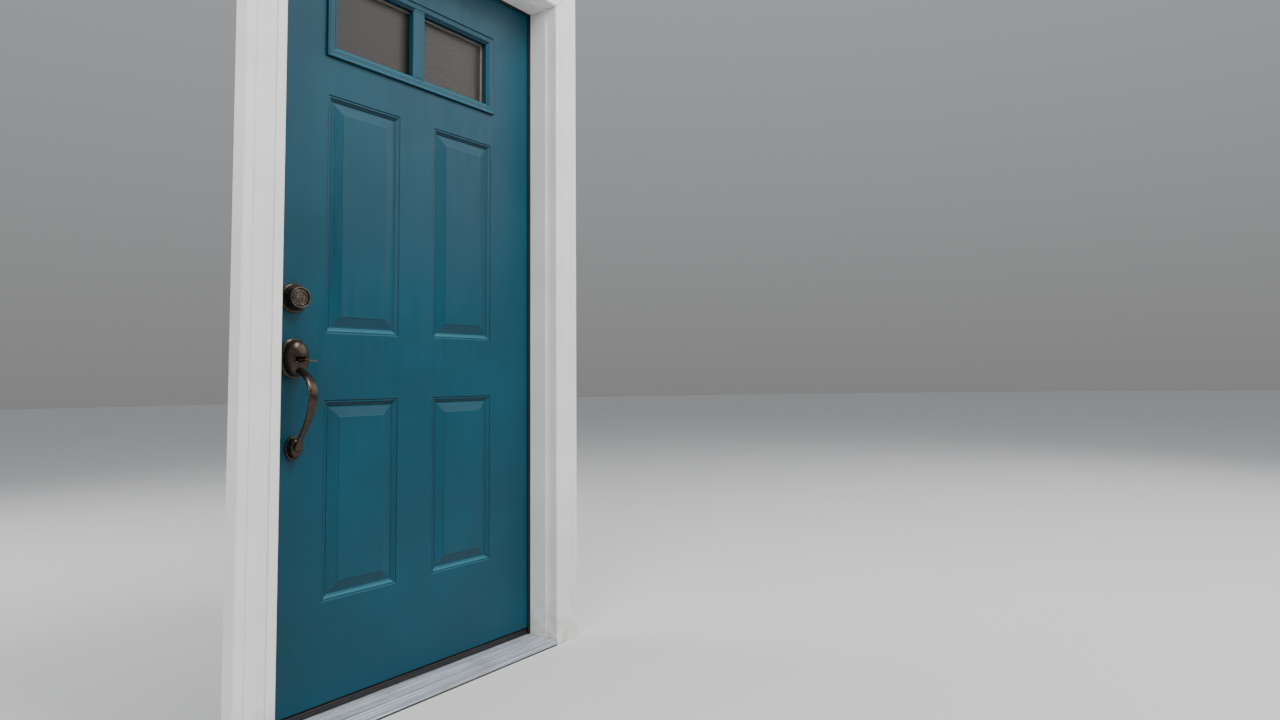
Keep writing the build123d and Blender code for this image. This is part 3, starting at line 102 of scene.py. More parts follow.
TEAL = (0.003, 0.057, 0.088, 1)
TEAL_DEEP = (0.002, 0.046, 0.073, 1)
# Lighter teal laid along edges: paint wear and a painted highlight
TEAL_EDGE_WEAR_AND_HIGHLIGHT = (0.012, 0.098, 0.142, 1)
# Dark teal of painted shade, laid in hollows and on faces that lean downward
TEAL_PAINTED_SHADE = (0.0005, 0.012, 0.02, 1)
# Light teal of painted light, laid on faces that lean upward
TEAL_PAINTED_LIGHT = (0.026, 0.15, 0.205, 1)
WHITE = (0.77, 0.76, 0.745, 1)
WHITE_SHADE = (0.7, 0.685, 0.665, 1)
COPPER = (0.34, 0.25, 0.19, 1)
DUST = (0.3, 0.27, 0.23, 1)
# Dark of painted shade in hollows and grooves, and of the crack at the moulding's mitres
PAINTED_SHADE_AND_CRACK_DARK = (0.05, 0.042, 0.035, 1)
# Near-black of painted shade in the hollows of bronze and metal
PAINTED_SHADE_BROWN_BLACK = (0.004, 0.003, 0.003, 1)
# Black of a painted shadow band on the sill cap, below the door
PAINTED_SHADOW_BLACK = (0.004, 0.004, 0.004, 1)
# Black of painted shade in the hollows of vinyl, rubber and foam
PAINTED_SHADE_BLACK = (0.003, 0.003, 0.003, 1)


# Nodes of a finish


def add_node(tree, kind, inputs=None, **settings):
    """A node with its settings made, and its inputs set or linked."""
    item = tree.nodes.new(kind)
    for name, value in settings.items():
        setattr(item, name, value)
    for key, value in (inputs or {}).items():
        if isinstance(value, bpy.types.NodeSocket):
            tree.links.new(value, item.inputs[key])
        else:
            item.inputs[key].default_value = value
    return item


class Finish:
    """One material, and the calls that its nodes are built with."""

    def __init__(self, name, **shader_values):
        self.material = bpy.data.materials.new(name)
        self.material.use_nodes = True
        self.tree = self.material.node_tree
        self.shader = self.tree.nodes["Principled BSDF"]
        for socket, value in shader_values.items():
            self.shader.inputs[socket.replace("_", " ")].default_value = value
        self.place = self.add("ShaderNodeTexCoord").outputs["Object"]

    def add(self, kind, inputs=None, **settings):
        """A node of this material."""
        return add_node(self.tree, kind, inputs, **settings)

    def noise(self, scale, stretch=(1, 1, 1), detail=3.0, roughness=0.55, distortion=0.0):
        """Noise of a number of cells a metre, stretched along the object's own axes."""
        mapped = self.add("ShaderNodeMapping", {"Vector": self.place, "Scale": stretch})
        values = {
            "Vector": mapped.outputs["Vector"], "Scale": scale, "Detail": detail,
            "Roughness": roughness, "Distortion": distortion,
        }
        return self.add("ShaderNodeTexNoise", values).outputs["Fac"]

    def ramp(self, factor, low, high):
        """Map a factor smoothly, from 0 at one stop to 1 at the other."""
        values = {"Value": factor, "From Min": low, "From Max": high}
        return self.add("ShaderNodeMapRange", values, interpolation_type="SMOOTHSTEP").outputs["Result"]

    def maths(self, operation, first, second=0.0):
        """One sum of two values."""
        return self.add("ShaderNodeMath", {0: first, 1: second}, operation=operation).outputs["Value"]

    def times(self, first, second):
        """Two values multiplied."""
        return self.maths("MULTIPLY", first, second)

    def minus(self, first, second):
        """One value less another."""
        return self.maths("SUBTRACT", first, second)

    def mix(self, factor, first, second):
        """Blend two colours."""
        return self.add("ShaderNodeMix", {0: factor, 6: first, 7: second}, data_type="RGBA").outputs[2]

    def lay(self, base, over, factor, share):
        """Lay one colour over another by a factor, at most by a share."""
        return self.mix(self.times(factor, share), base, over)

    def blend(self, factor, first, second):
        """Blend two numbers."""
        return self.add("ShaderNodeMix", {0: factor, 2: first, 3: second}, data_type="FLOAT").outputs[0]

    def axes(self):
        """The object's own X, Y and Z."""
        item = self.add("ShaderNodeSeparateXYZ", {"Vector": self.place})
        return item.outputs["X"], item.outputs["Y"], item.outputs["Z"]

    def rounded(self, radius):
        """A normal that rounds off sharp edges."""
        return self.add("ShaderNodeBevel", {"Radius": radius}, samples=4).outputs["Normal"]

    def edges(self, radius, low=0.02, high=0.25):
        """How near a point is to a sharp edge, from 0 to 1."""
        flat = self.add("ShaderNodeNewGeometry").outputs["Normal"]
        dot = self.add("ShaderNodeVectorMath", {0: flat, 1: self.rounded(radius)}, operation="DOT_PRODUCT")
        return self.ramp(self.minus(1.0, dot.outputs["Value"]), low, high)

    def hollows(self, distance, low, high):
        """How deep a point sits in a hollow of a given reach, from 0 to 1 between two shares."""
        item = self.add("ShaderNodeAmbientOcclusion", {"Distance": distance}, samples=6)
        return self.ramp(self.minus(1.0, item.outputs["AO"]), low, high)

    def leaning(self, normal, low, high):
        """How far a normal leans between two shares of straight up, from 0 to 1."""
        lean = self.add("ShaderNodeSeparateXYZ", {"Vector": normal}).outputs["Z"]
        return self.ramp(lean, low, high)

    def bump(self, height, distance, strength, normal=None):
        """Raise the surface by a height map, in metres."""
        values = {"Height": height, "Distance": distance, "Strength": strength}
        if normal:
            values["Normal"] = normal
        return self.add("ShaderNodeBump", values).outputs["Normal"]

    def use(self, **links):
        """Feed the shader's sockets."""
        for socket, source in links.items():
            self.tree.links.new(source, self.shader.inputs[socket.replace("_", " ")])
        return self.material


# Where the door's panels, rails and steps lie, for its paint


def inside_band(finish, value, low, high):
    """1 where a value lies between two limits, and 0 elsewhere."""
    above = finish.maths("GREATER_THAN", value, low)
    return finish.times(above, finish.maths("LESS_THAN", value, high))


def past_edge(finish, x, z, centre, half):
    """Distance outside a rectangle in the door's plane, below zero inside it."""
    beside = finish.minus(finish.maths("ABSOLUTE", finish.minus(x, centre[0])), half[0])
    above = finish.minus(finish.maths("ABSOLUTE", finish.minus(z, centre[1])), half[1])
    return finish.maths("MAXIMUM", beside, above)


def past_panels(finish, x, z):
    """Distance outside the outline of the nearest panel."""
    side = finish.maths("ABSOLUTE", x)
    nearest = None
    for low, high in PANEL_ROWS:
        centre = (PANEL_CENTRE, (low + high) / 2)
        distance = past_edge(finish, side, z, centre, (PANEL_HALF_WIDE, (high - low) / 2))
        nearest = finish.maths("MINIMUM", nearest, distance) if nearest else distance
    return nearest


def small_steps(finish, distance, places, width):
    """A height that drops by 1 at each of some distances from an outline, going inward."""
    total = 0.0
    for place in places:
        step = finish.ramp(distance, place - width / 2, place + width / 2)
        total = finish.maths("ADD", step, total)
    return total


def door_grain(finish, x, z):
    """Moulded wood grain, upright on stiles and panels and level on rails."""
    upright = finish.noise(260, (1, 1, 0.035), detail=4, roughness=0.62, distortion=0.35)
    level = finish.noise(260, (0.035, 1, 1), detail=4, roughness=0.62, distortion=0.35)
    in_rows = 0.0
    for low, high in PANEL_ROWS:
        in_rows = finish.maths("ADD", inside_band(finish, z, low, high), in_rows)
    between_stiles = inside_band(finish, x, -PANEL_REACH, PANEL_REACH)
    is_rail = finish.times(between_stiles, finish.minus(1.0, in_rows))
    return finish.blend(is_rail, upright, level)


# Finishes

GRIME_HEIGHT = 220 * MM


def teal_paint(name, grained):
    """Satin teal paint over moulded grain where it has any, with painted shade in hollows and on faces that
    lean down, painted light on faces that lean up, and edges lightened by wear and a painted highlight.
    """
    finish = Finish(name, Roughness=0.42, Specular_IOR_Level=0.27)
    x, _, z = finish.axes()
    grain = door_grain(finish, x, z)
    brush = finish.noise(60, (1, 1, 0.12), detail=3)
    patches = finish.noise(3.2, detail=3)
    colour = finish.mix(finish.ramp(patches, 0.3, 0.7), TEAL_DEEP, TEAL)
    # Edges lightened: paint wear and a painted highlight
    colour = finish.lay(colour, TEAL_EDGE_WEAR_AND_HIGHLIGHT, finish.edges(1.6 * MM), 0.35)
    if grained:
        colour = finish.mix(finish.ramp(grain, 0.4, 0.22), colour, TEAL_DEEP)
        steps = small_steps(finish, past_panels(finish, x, z), PANEL_STEPS, PANEL_STEP_WIDTH)
        pore_depth = 0.11 * MM
    else:
        past_lite = past_edge(finish, x, z, LITE_CENTRE, LITE_HALF)
        steps = small_steps(finish, past_lite, LITE_STEPS, LITE_STEP_WIDTH)
        pore_depth = 0.05 * MM
    normal = finish.bump(steps, 3.4 * MM, 1.0, finish.rounded(1.2 * MM))
    # Painted light on faces that lean up; painted shade in hollows and on faces that lean down
    ledge = finish.leaning(normal, 0.22, 0.6)
    under = finish.leaning(normal, -0.1, -0.34)
    hollow = finish.times(finish.hollows(12 * MM, 0.18, 0.7), finish.minus(1.0, ledge))
    colour = finish.lay(colour, TEAL_PAINTED_SHADE, hollow, 0.85)
    colour = finish.lay(colour, TEAL_PAINTED_LIGHT, ledge, 0.7)
    colour = finish.lay(colour, TEAL_PAINTED_SHADE, under, 0.55)
    rough = finish.blend(finish.ramp(brush, 0.25, 0.75), 0.36, 0.5)
    normal = finish.bump(finish.ramp(grain, 0.34, 0.52), pore_depth, 0.8, normal)
    normal = finish.bump(brush, 0.05 * MM, 0.5, normal)
    return finish.use(Base_Color=colour, Roughness=rough, Normal=normal)


def mitre_crack(finish, x, y, z):
    """The dark line where a leg of the outside moulding meets its head, from 0 to 1."""
    out = finish.minus(finish.maths("ABSOLUTE", x), mould_inner_x)
    up = finish.minus(z, mould_inner_z)
    wander = finish.times(finish.minus(finish.noise(40, detail=2), 0.5), 0.8 * MM)
    off_line = finish.maths("ABSOLUTE", finish.maths("ADD", finish.minus(out, up), wander))
    in_front = finish.maths("LESS_THAN", y, 0.0)
    at_head = finish.maths("GREATER_THAN", z, mould_inner_z)
    return finish.times(finish.times(finish.ramp(off_line, 1.1 * MM, 0.4 * MM), in_front), at_head)


def white_paint(name, along):
    """Warm off-white paint with brush marks along a length, grime at the foot, dark mitres and painted shade
    in its hollows.
    """
    finish = Finish(name, Roughness=0.45)
    x, y, z = finish.axes()
    stretch = [1.0, 1.0, 1.0]
    stretch[along] = 0.03
    strokes = finish.noise(240, stretch, detail=4, roughness=0.6)
    waves = finish.noise(26, stretch, detail=2)
    patches = finish.noise(5.0, detail=4)
    colour = finish.mix(finish.ramp(patches, 0.3, 0.72), WHITE_SHADE, WHITE)
    foot = finish.ramp(z, GRIME_HEIGHT, 0.0)
    grime = finish.times(foot, finish.ramp(finish.noise(22, detail=5), 0.38, 0.66))
    colour = finish.lay(colour, DUST, grime, 0.4)
    # Painted shade: darkened in hollows
    colour = finish.lay(colour, PAINTED_SHADE_AND_CRACK_DARK, finish.hollows(6 * MM, 0.25, 0.9), 0.45)
    colour = finish.lay(colour, PAINTED_SHADE_AND_CRACK_DARK, mitre_crack(finish, x, y, z), 0.85)
    rough = finish.blend(finish.ramp(strokes, 0.3, 0.7), 0.4, 0.54)
    normal = finish.bump(strokes, 0.12 * MM, 0.6, finish.rounded(1.4 * MM))
    normal = finish.bump(waves, 0.5 * MM, 0.35, normal)
    return finish.use(Base_Color=colour, Roughness=rough, Normal=normal)


def bronze(name, dark, brown, wear):
    """Oil-rubbed bronze: dark brown, mottled, rubbed to copper along its edges by a share, with painted shade
    in its hollows.
    """
    finish = Finish(name, Metallic=0.85, Roughness=0.32)
    mottle = finish.noise(130, detail=5, roughness=0.62)
    cloud = finish.noise(22, detail=2)
    colour = finish.mix(finish.ramp(mottle, 0.3, 0.72), dark, brown)
    colour = finish.lay(colour, dark, finish.ramp(cloud, 0.35, 0.7), 0.25)
    rubbed = finish.ramp(finish.noise(60, detail=4), 0.2, 0.55)
    colour = finish.lay(colour, COPPER, finish.times(finish.edges(1.4 * MM, 0.05, 0.35), rubbed), wear)
    # Painted shade: near-black in hollows
    colour = finish.lay(colour, PAINTED_SHADE_BROWN_BLACK, finish.hollows(6 * MM, 0.25, 0.8), 0.9)
    rough = finish.blend(finish.ramp(mottle, 0.3, 0.7), 0.24, 0.38)
    normal = finish.bump(finish.noise(700, detail=3), 0.06 * MM, 0.5, finish.rounded(0.6 * MM))
    normal = finish.bump(cloud, 0.2 * MM, 0.1, normal)
    return finish.use(Base_Color=colour, Roughness=rough, Normal=normal)


def mill_aluminium(name):
    """Dull extruded aluminium with fine lines along its length, scuffs, stains and painted shade in its
    grooves.
    """
    finish = Finish(name, Metallic=0.75, Roughness=0.42)
    lines = finish.noise(420, (0.004, 1, 1), detail=4, roughness=0.7)
    scuffs = finish.noise(35, (0.6, 1, 1), detail=5, roughness=0.7)
    stains = finish.noise(9, detail=4)
    colour = finish.mix(finish.ramp(lines, 0.4, 0.58), (0.3, 0.34, 0.42, 1), (0.76, 0.81, 0.88, 1))
    colour = finish.lay(colour, DUST, finish.ramp(stains, 0.45, 0.75), 0.35)
    # Painted shade: darkened in grooves
    colour = finish.lay(colour, PAINTED_SHADE_AND_CRACK_DARK, finish.hollows(4 * MM, 0.15, 0.75), 0.6)
    rough = finish.blend(finish.ramp(scuffs, 0.35, 0.7), 0.34, 0.58)
    normal = finish.bump(lines, 0.12 * MM, 0.7, finish.rounded(0.5 * MM))
    normal = finish.bump(scuffs, 0.2 * MM, 0.2, normal)
    return finish.use(Base_Color=colour, Roughness=rough, Normal=normal)


def plastic(name, colour, dark, rough, grain=500, dusty=0.12, painted_shadow_above=None):
    """Vinyl, rubber or foam: a fine skin, some dust, painted shade in its hollows and, if asked, a painted
    shadow that turns it black above a height.
    """
    finish = Finish(name, Roughness=rough)
    patches = finish.ramp(finish.noise(12, detail=4), 0.3, 0.7)
    blend = finish.mix(patches, dark, colour)
    blend = finish.lay(blend, DUST, finish.ramp(finish.noise(30, detail=5), 0.45, 0.75), dusty)
    # Painted shadow: black above a height, where shade falls below the door
    if painted_shadow_above:
        _, _, z = finish.axes()
        rubbed = finish.ramp(z, painted_shadow_above - 2 * MM, painted_shadow_above + 1 * MM)
        blend = finish.mix(rubbed, blend, PAINTED_SHADOW_BLACK)
    # Painted shade: near-black in hollows
    blend = finish.lay(blend, PAINTED_SHADE_BLACK, finish.hollows(20 * MM, 0.3, 0.85), 0.9)
    shine = finish.blend(patches, rough - 0.08, rough + 0.1)
    normal = finish.bump(finish.noise(grain, detail=3), 0.1 * MM, 0.5, finish.rounded(0.6 * MM))
    return finish.use(Base_Color=blend, Roughness=shine, Normal=normal)


def bare_wood(name):
    """Planed softwood with growth lines along Z."""
    finish = Finish(name, Roughness=0.62)
    rings = finish.noise(120, (1, 1, 0.03), detail=4, distortion=0.6)
    fibres = finish.noise(700, (1, 1, 0.02), detail=3)
    colour = finish.mix(finish.ramp(rings, 0.35, 0.65), (0.34, 0.2, 0.1, 1), (0.56, 0.38, 0.21, 1))
    colour = finish.lay(colour, (0.62, 0.45, 0.27, 1), finish.ramp(fibres, 0.3, 0.5), 0.2)
    normal = finish.bump(fibres, 0.12 * MM, 0.6, finish.rounded(0.6 * MM))
    return finish.use(Base_Color=colour, Normal=normal)


def metal(name, colour, dark, rough):
    """Plated or plain metal with faint machining lines, a few dull patches and painted shade in its recesses.
    """
    finish = Finish(name, Metallic=1.0, Roughness=rough)
    lines = finish.noise(600, detail=3)
    patches = finish.noise(70, detail=4)
    blend = finish.mix(finish.ramp(patches, 0.3, 0.7), dark, colour)
    # Painted shade: near-black in recesses
    blend = finish.lay(blend, PAINTED_SHADE_BROWN_BLACK, finish.hollows(3 * MM, 0.3, 0.8), 0.95)
    shine = finish.blend(finish.ramp(lines, 0.3, 0.7), rough - 0.08, rough + 0.12)
    normal = finish.bump(lines, 0.04 * MM, 0.5, finish.rounded(0.4 * MM))
    return finish.use(Base_Color=blend, Roughness=shine, Normal=normal)


def glazing(name):
    """Nearly clear outer pane over a near-black, nearly opaque inner pane that is painted shade for a dark
    room behind; both have faint wiping marks.
    """
    finish = Finish(name, Roughness=0.29, IOR=1.5)
    wipes = finish.noise(7, (1, 1, 2.2), detail=5, distortion=1.2)
    _, y, _ = finish.axes()
    # The inner pane is near-black and nearly opaque: painted shade in place of a dark room behind the glass
    is_inner = finish.maths("GREATER_THAN", y, middle_y)
    colour = finish.mix(wipes, (0.02, 0.017, 0.012, 1), (0.034, 0.029, 0.021, 1))
    return finish.use(Base_Color=colour, Alpha=finish.blend(is_inner, 0.16, 0.94))


def spacer_bar(name):
    """Tan anodised spacer at the rim of the sealed unit."""
    finish = Finish(name, Metallic=0.3, Roughness=0.5)
    lines = finish.noise(400, (0.02, 1, 0.02), detail=2)
    colour = finish.mix(finish.ramp(lines, 0.3, 0.7), (0.6, 0.52, 0.41, 1), (0.7, 0.62, 0.5, 1))
    return finish.use(Base_Color=colour, Normal=finish.bump(lines, 0.1 * MM, 0.4))


def pale_finish(name, tone):
    """Even pale finish with a faint cloud, for the floor."""
    finish = Finish(name, Roughness=0.85)
    cloud = finish.noise(1.5, detail=2)
    warm = (tone * 1.03, tone * 1.02, tone, 1)
    colour = finish.mix(finish.ramp(cloud, 0.3, 0.7), (tone, tone, tone, 1), warm)
    return finish.use(Base_Color=colour)


finishes = {
    "door_paint": teal_paint("teal_paint_grained", True),
    "lite_paint": teal_paint("teal_paint_smooth", False),
    "frame_paint": white_paint("white_paint_upright", 2),
    "frame_paint_level": white_paint("white_paint_level", 0),
    "wood": bare_wood("planed_softwood"),
    "foam": plastic("rigid_foam", (0.62, 0.52, 0.28, 1), (0.52, 0.42, 0.22, 1), 0.8, grain=900),
    "composite": plastic("sill_composite", (0.09, 0.08, 0.075, 1), (0.05, 0.045, 0.04, 1), 0.6),
    "mill_aluminium": mill_aluminium("mill_aluminium"),
    # The cap's upper band is a painted shadow below the door
    "brown_vinyl": plastic(
        "brown_vinyl", (0.04, 0.029, 0.026, 1), (0.026, 0.018, 0.016, 1), 0.6,
        dusty=0.04, painted_shadow_above=34 * MM,
    ),
    "black_vinyl": plastic(
        "black_vinyl", (0.008, 0.008, 0.009, 1), (0.004, 0.004, 0.005, 1), 0.6, dusty=0.02,
    ),
    "black_foam": plastic(
        "black_seal", (0.007, 0.007, 0.008, 1), (0.004, 0.004, 0.005, 1), 0.8, grain=1200, dusty=0.02,
    ),
    "glass": glazing("tinted_glazing"),
    "spacer": spacer_bar("tan_spacer"),
    "bronze": bronze("oil_rubbed_bronze", (0.04, 0.03, 0.023, 1), (0.07, 0.051, 0.037, 1), 0.4),
    # A lighter copy of the bronze: wear, and a painted highlight on the lip ring, ringed face and thumb piece
    "bronze_worn_highlit": bronze("rubbed_bronze", (0.13, 0.108, 0.092, 1), (0.21, 0.175, 0.148, 1), 0.8),
    "zinc_steel": metal("zinc_plated_steel", (0.56, 0.56, 0.54, 1), (0.4, 0.4, 0.39, 1), 0.36),
    "brass": metal("aged_brass", (0.13, 0.105, 0.08, 1), (0.075, 0.06, 0.046, 1), 0.4),
    "pale_floor": pale_finish("pale_floor", 0.62),
}

# CAD nodes whose finish isn't that of their slot
own_finish = {"head_jamb": "frame_paint_level", "mould_head": "frame_paint_level", "glass_spacer": "spacer"}


def dress_cad_nodes():
    """Give every CAD node the finish of its slot, or its own."""
    for entry in frame["record"]["subparts"]:
        name = entry["node"]
        mesh = nodes[name].data
        mesh.materials.clear()
        mesh.materials.append(finishes[own_finish.get(name, entry["material_slot"])])


dress_cad_nodes()


# Mesh making

# How square a rounded outline is: 2 makes an ellipse, and more brings it nearer a rectangle
ELLIPSE = 2
PLATE_SQUARE = 2.15
PADDLE_SQUARE = 2.3
THUMB_SQUARE = 2.5
GRIP_SQUARE = 2.7
SAME_PLACE = 0.001 * MM


def put_in_scene(name, data):
    """An object at the origin with a mesh, a light or a camera."""
    obj = bpy.data.objects.new(name, data)
    bpy.context.scene.collection.objects.link(obj)
    return obj


def new_object(name, bm, key):
    """A mesh object with one finish."""
    mesh = bpy.data.meshes.new(name)
    bm.to_mesh(mesh)
    bm.free()
    mesh.materials.append(finishes[key])
    return put_in_scene(name, mesh)


def soften(obj, angle=40):
    """Shade smooth, and keep edges sharper than an angle crisp."""
    obj.data.shade_smooth()
    obj.data.set_sharp_from_angle(angle=math.radians(angle))
    return obj


def apply_modifiers(obj):
    """Turn an object's modifiers into plain mesh."""
    graph = bpy.context.evaluated_depsgraph_get()
    graph.update()
    mesh = bpy.data.meshes.new_from_object(obj.evaluated_get(graph))
    old = obj.data
    obj.modifiers.clear()
    obj.data = mesh
    mesh.name = old.name + "_made"
    bpy.data.meshes.remove(old)


def mount_piece(obj, body, slot, *replaced):
    """Let a piece ride on a body and stand for the CAD nodes it details."""
    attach(obj, body)
    if replaced:
        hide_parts(*replaced)


def between(share, a, b, c, d):
    """A value at a share of the way from b to c on a Catmull-Rom curve."""
    bend = 2 * a - 5 * b + 4 * c - d
    twist = 3 * b - a - 3 * c + d
    return 0.5 * (2 * b + (c - a) * share + bend * share * share + twist * share ** 3)


def curve_points(points, steps):
    """A smooth run through points, for tuples of any length."""
    run = []
    ends = [points[0], *points, points[-1]]
    for index in range(1, len(ends) - 2):
        around = ends[index - 1:index + 3]
        for step in range(steps):
            run.append(tuple(between(step / steps, *values) for values in zip(*around)))
    run.append(tuple(points[-1]))
    return run


def arc(centre, radius, start, end, steps):
    """Points on an arc, given its centre, radius and end angles in degrees."""
    angles = [math.radians(start + (end - start) * step / steps) for step in range(steps + 1)]
    return [(centre[0] + radius * math.cos(angle), centre[1] + radius * math.sin(angle)) for angle in angles]


def shifted(radius, depth, *pairs):
    """Points of a profile in metres, from a first point and steps out and along in millimetres."""
    return [(radius + out * MM, depth + along * MM) for out, along in pairs]


def rounded_outline(half_wide, half_high, power, count):
    """Points of an outline between an ellipse and a rectangle."""
    points = []
    for index in range(count):
        angle = 2 * math.pi * index / count
        c, s = math.cos(angle), math.sin(angle)
        points.append((
            half_wide * math.copysign(abs(c) ** (2 / power), c),
            half_high * math.copysign(abs(s) ** (2 / power), s),
        ))
    return points


def circle(radius, count):
    """Points of a circle round the origin."""
    return rounded_outline(radius, radius, ELLIPSE, count)


def turned(name, key, profile, centre_x, centre_z, segments=128, squash=1.0):
    """A solid turned about an axis along Y, from radius and depth pairs, narrowed sideways by a share."""
    bm = bmesh.new()
    rings = []
    for radius, depth in profile:
        outline = [(0.0, 0.0)]
        if radius >= SAME_PLACE:
            outline = rounded_outline(squash * radius, radius, ELLIPSE, segments)
        rings.append([bm.verts.new((centre_x + x, depth, centre_z + z)) for x, z in outline])
    for first, second in zip(rings, rings[1:]):
        for index in range(segments):
            after = (index + 1) % segments
            corners = [first[index % len(first)], first[after % len(first)]]
            corners += [second[after % len(second)], second[index % len(second)]]
            unique = list(dict.fromkeys(corners))
            if len(unique) > 2:
                bm.faces.new(unique)
    bmesh.ops.recalc_face_normals(bm, faces=bm.faces)
    return soften(new_object(name, bm, key))


def skin_rings(bm, rings):
    """Faces between rings of vertices, with the ends closed."""
    for first, second in zip(rings, rings[1:]):
        for index in range(len(first)):
            after = (index + 1) % len(first)
            bm.faces.new((first[index], first[after], second[after], second[index]))
    bm.faces.new(rings[0][::-1])
    bm.faces.new(rings[-1])


def skinned(name, key, *shells):
    """An object of closed shells, each given as rings of points that are skinned one to the next."""
    bm = bmesh.new()
    for shell in shells:
        skin_rings(bm, [[bm.verts.new(point) for point in ring] for ring in shell])
    bmesh.ops.recalc_face_normals(bm, faces=bm.faces)
    return new_object(name, bm, key)


def layered(name, layers, power, count, centre_z):
    """A bronze solid on the lock's axis, from layers of depth, half width and half height."""
    rings = []
    for depth, half_wide, half_high in layers:
        outline = rounded_outline(half_wide, half_high, power, count)
        rings.append([(lock_x + x, depth, centre_z + z) for x, z in outline])
    return skinned(name, "bronze", rings)


def swept(line, steps, power, count, dish=0.0, dish_end=0.0):
    """Rings of a rounded strap, from a line of depth, height, half width and half thickness in
    millimetres, dished in metres from its outer end to one depth of the line."""
    right = Vector((1, 0, 0))
    run = curve_points(line, steps)
    rings = []
    for index, (y, z, half_wide, half_thick) in enumerate(run):
        before = run[max(index - 1, 0)]
        after = run[min(index + 1, len(run) - 1)]
        along = Vector((0, after[0] - before[0], after[1] - before[1])).normalized()
        across = right.cross(along)
        sag = dish if y < dish_end else 0.0
        ring = []
        for a, b in rounded_outline(half_wide * MM, half_thick * MM, power, count):
            low = z * MM - sag * (1 - (a / (half_wide * MM)) ** 2)
            ring.append(Vector((lock_x, y * MM, low)) + right * a + across * b)
        rings.append(ring)
    return rings


def combine(target, other, operation):
    """Join or cut one solid with another, and remove the tool."""
    step = target.modifiers.new(operation, "BOOLEAN")
    step.operation = operation
    step.solver = "EXACT"
    step.object = other
    apply_modifiers(target)
    bpy.data.objects.remove(other)


# Deadbolt outside: rose, ringed face and key plug

CYLINDER_CLEARANCE = 0.15 * MM
LIP_CENTRE = 24.2 * MM
LIP_RING = (22.9 * MM, 25.2 * MM)
FACE_GROOVES = (17 * MM, 14.3 * MM, 11.7 * MM)
KEYWAY = (
    (-2.3, 5.2), (2.3, 5.2), (2.3, 1.6), (1.4, 1.1), (1.4, 0.2),
    (2.3, -0.3), (2.3, -5.2), (-1.3, -5.2), (-1.3, -2), (-2.3, -1.5),
)
KEYWAY_DEPTH = 9 * MM
TOOL_PAST = 1 * MM


def deadbolt_rose():
    """The rose: rimmed base, waisted cone and rolled front lip round the cylinder."""
    front, base, wide = span("deadbolt_housing")
    bore = span("deadbolt_cylinder")[2] + CYLINDER_CLEARANCE
    profile = shifted(wide, base, (-1.5, 0), (0, -0.6), (0, -2.2))
    profile += arc((wide - 1.6 * MM, base - 2.2 * MM), 1.6 * MM, 0, -80, 6)
    waist = shifted(0, base, (33.4, -3.6), (31.6, -5), (29.6, -9), (27.6, -16), (26.2, -23.5))
    profile += curve_points(waist, 6)
    profile += shifted(0, front, (25.6, 4.4), (25.9, 4))
    profile += arc((LIP_CENTRE, front + 1.9 * MM), 1.9 * MM, 35, -90, 10)
    profile += arc((LIP_RING[0], front + 1.2 * MM), 1.2 * MM, -90, -170, 5)
    profile += shifted(0, front, (21.6, 6))
    profile += shifted(bore, front, (0, 6.4), (0, 12), (1.2, 12))
    profile += shifted(wide, base, (-8, 0), (-1.5, 0))
    return turned("deadbolt_rose", "bronze", profile, lock_x, bolt_z)


def lip_ring():
    """The ring round the front lip of the rose, in the lighter bronze as a painted highlight on the lip."""
    front = span("deadbolt_housing")[0]
    inner, outer = LIP_RING
    profile = shifted(inner, front, (0, 2.4)) + shifted(outer, front, (-0.3, 2.4), (0, 1), (-0.6, -0.2))
    profile += shifted(inner, front, (0.6, -0.2), (0, 0.8), (0, 2.4))
    return turned("deadbolt_lip_ring", "bronze_worn_highlit", profile, lock_x, bolt_z)


def ringed_face():
    """The cylinder's face with its turned rings, round a raised boss for the plug, in the lighter bronze as a
    painted highlight.
    """
    front, back, edge = span("deadbolt_cylinder")
    profile = [(0, back), (edge, back), (edge, front + 2.4 * MM)]
    profile += arc((edge - 1 * MM, front + 2.4 * MM), 1 * MM, 0, -90, 5)
    for groove in FACE_GROOVES:
        profile += shifted(groove, front + 1.4 * MM, (0.85, 0), (0.6, 1.8), (-0.6, 1.8), (-0.85, 0))
    profile += shifted(0, front, (9.9, 1.4), (0, 1.4))
    return turned("deadbolt_ringed_face", "bronze_worn_highlit", profile, lock_x, bolt_z)


def key_plug_face():
    """The plug's domed face with its keyway."""
    front, back, wide = span("key_plug")
    profile = [(0, back), (wide, back), (wide, front + 0.9 * MM)]
    profile += arc((wide - 0.9 * MM, front + 0.9 * MM), 0.9 * MM, 0, -80, 5)
    profile += [(wide * 0.5, front + 0.05 * MM), (0, front)]
    plug = turned("key_plug_face", "brass", profile, lock_x, plug_z, 64)
    ends = [
        [(lock_x + x * MM, depth, plug_z + z * MM) for x, z in KEYWAY]
        for depth in (front - TOOL_PAST, front + KEYWAY_DEPTH)
    ]
    combine(plug, skinned("keyway_tool", "brass", ends), "DIFFERENCE")
    return soften(plug)


mount_piece(deadbolt_rose(), "door", "bronze", "deadbolt_housing")
mount_piece(lip_ring(), "door", "bronze")
mount_piece(ringed_face(), "door", "bronze", "deadbolt_cylinder")
mount_piece(key_plug_face(), "key_plug", "brass", "key_plug")


# Outside handle: one casting

PLATE_HALF_WIDE = 34 * MM
PLATE_HALF_HIGH = 49 * MM
PLATE_EDGE = ((0, 0), (0, 2.2), (0.5, 3.2), (1.6, 3.7), (3.4, 3.8), (4, 4.6), (5.2, 5))
plate_z = plate_top - PLATE_HALF_HIGH

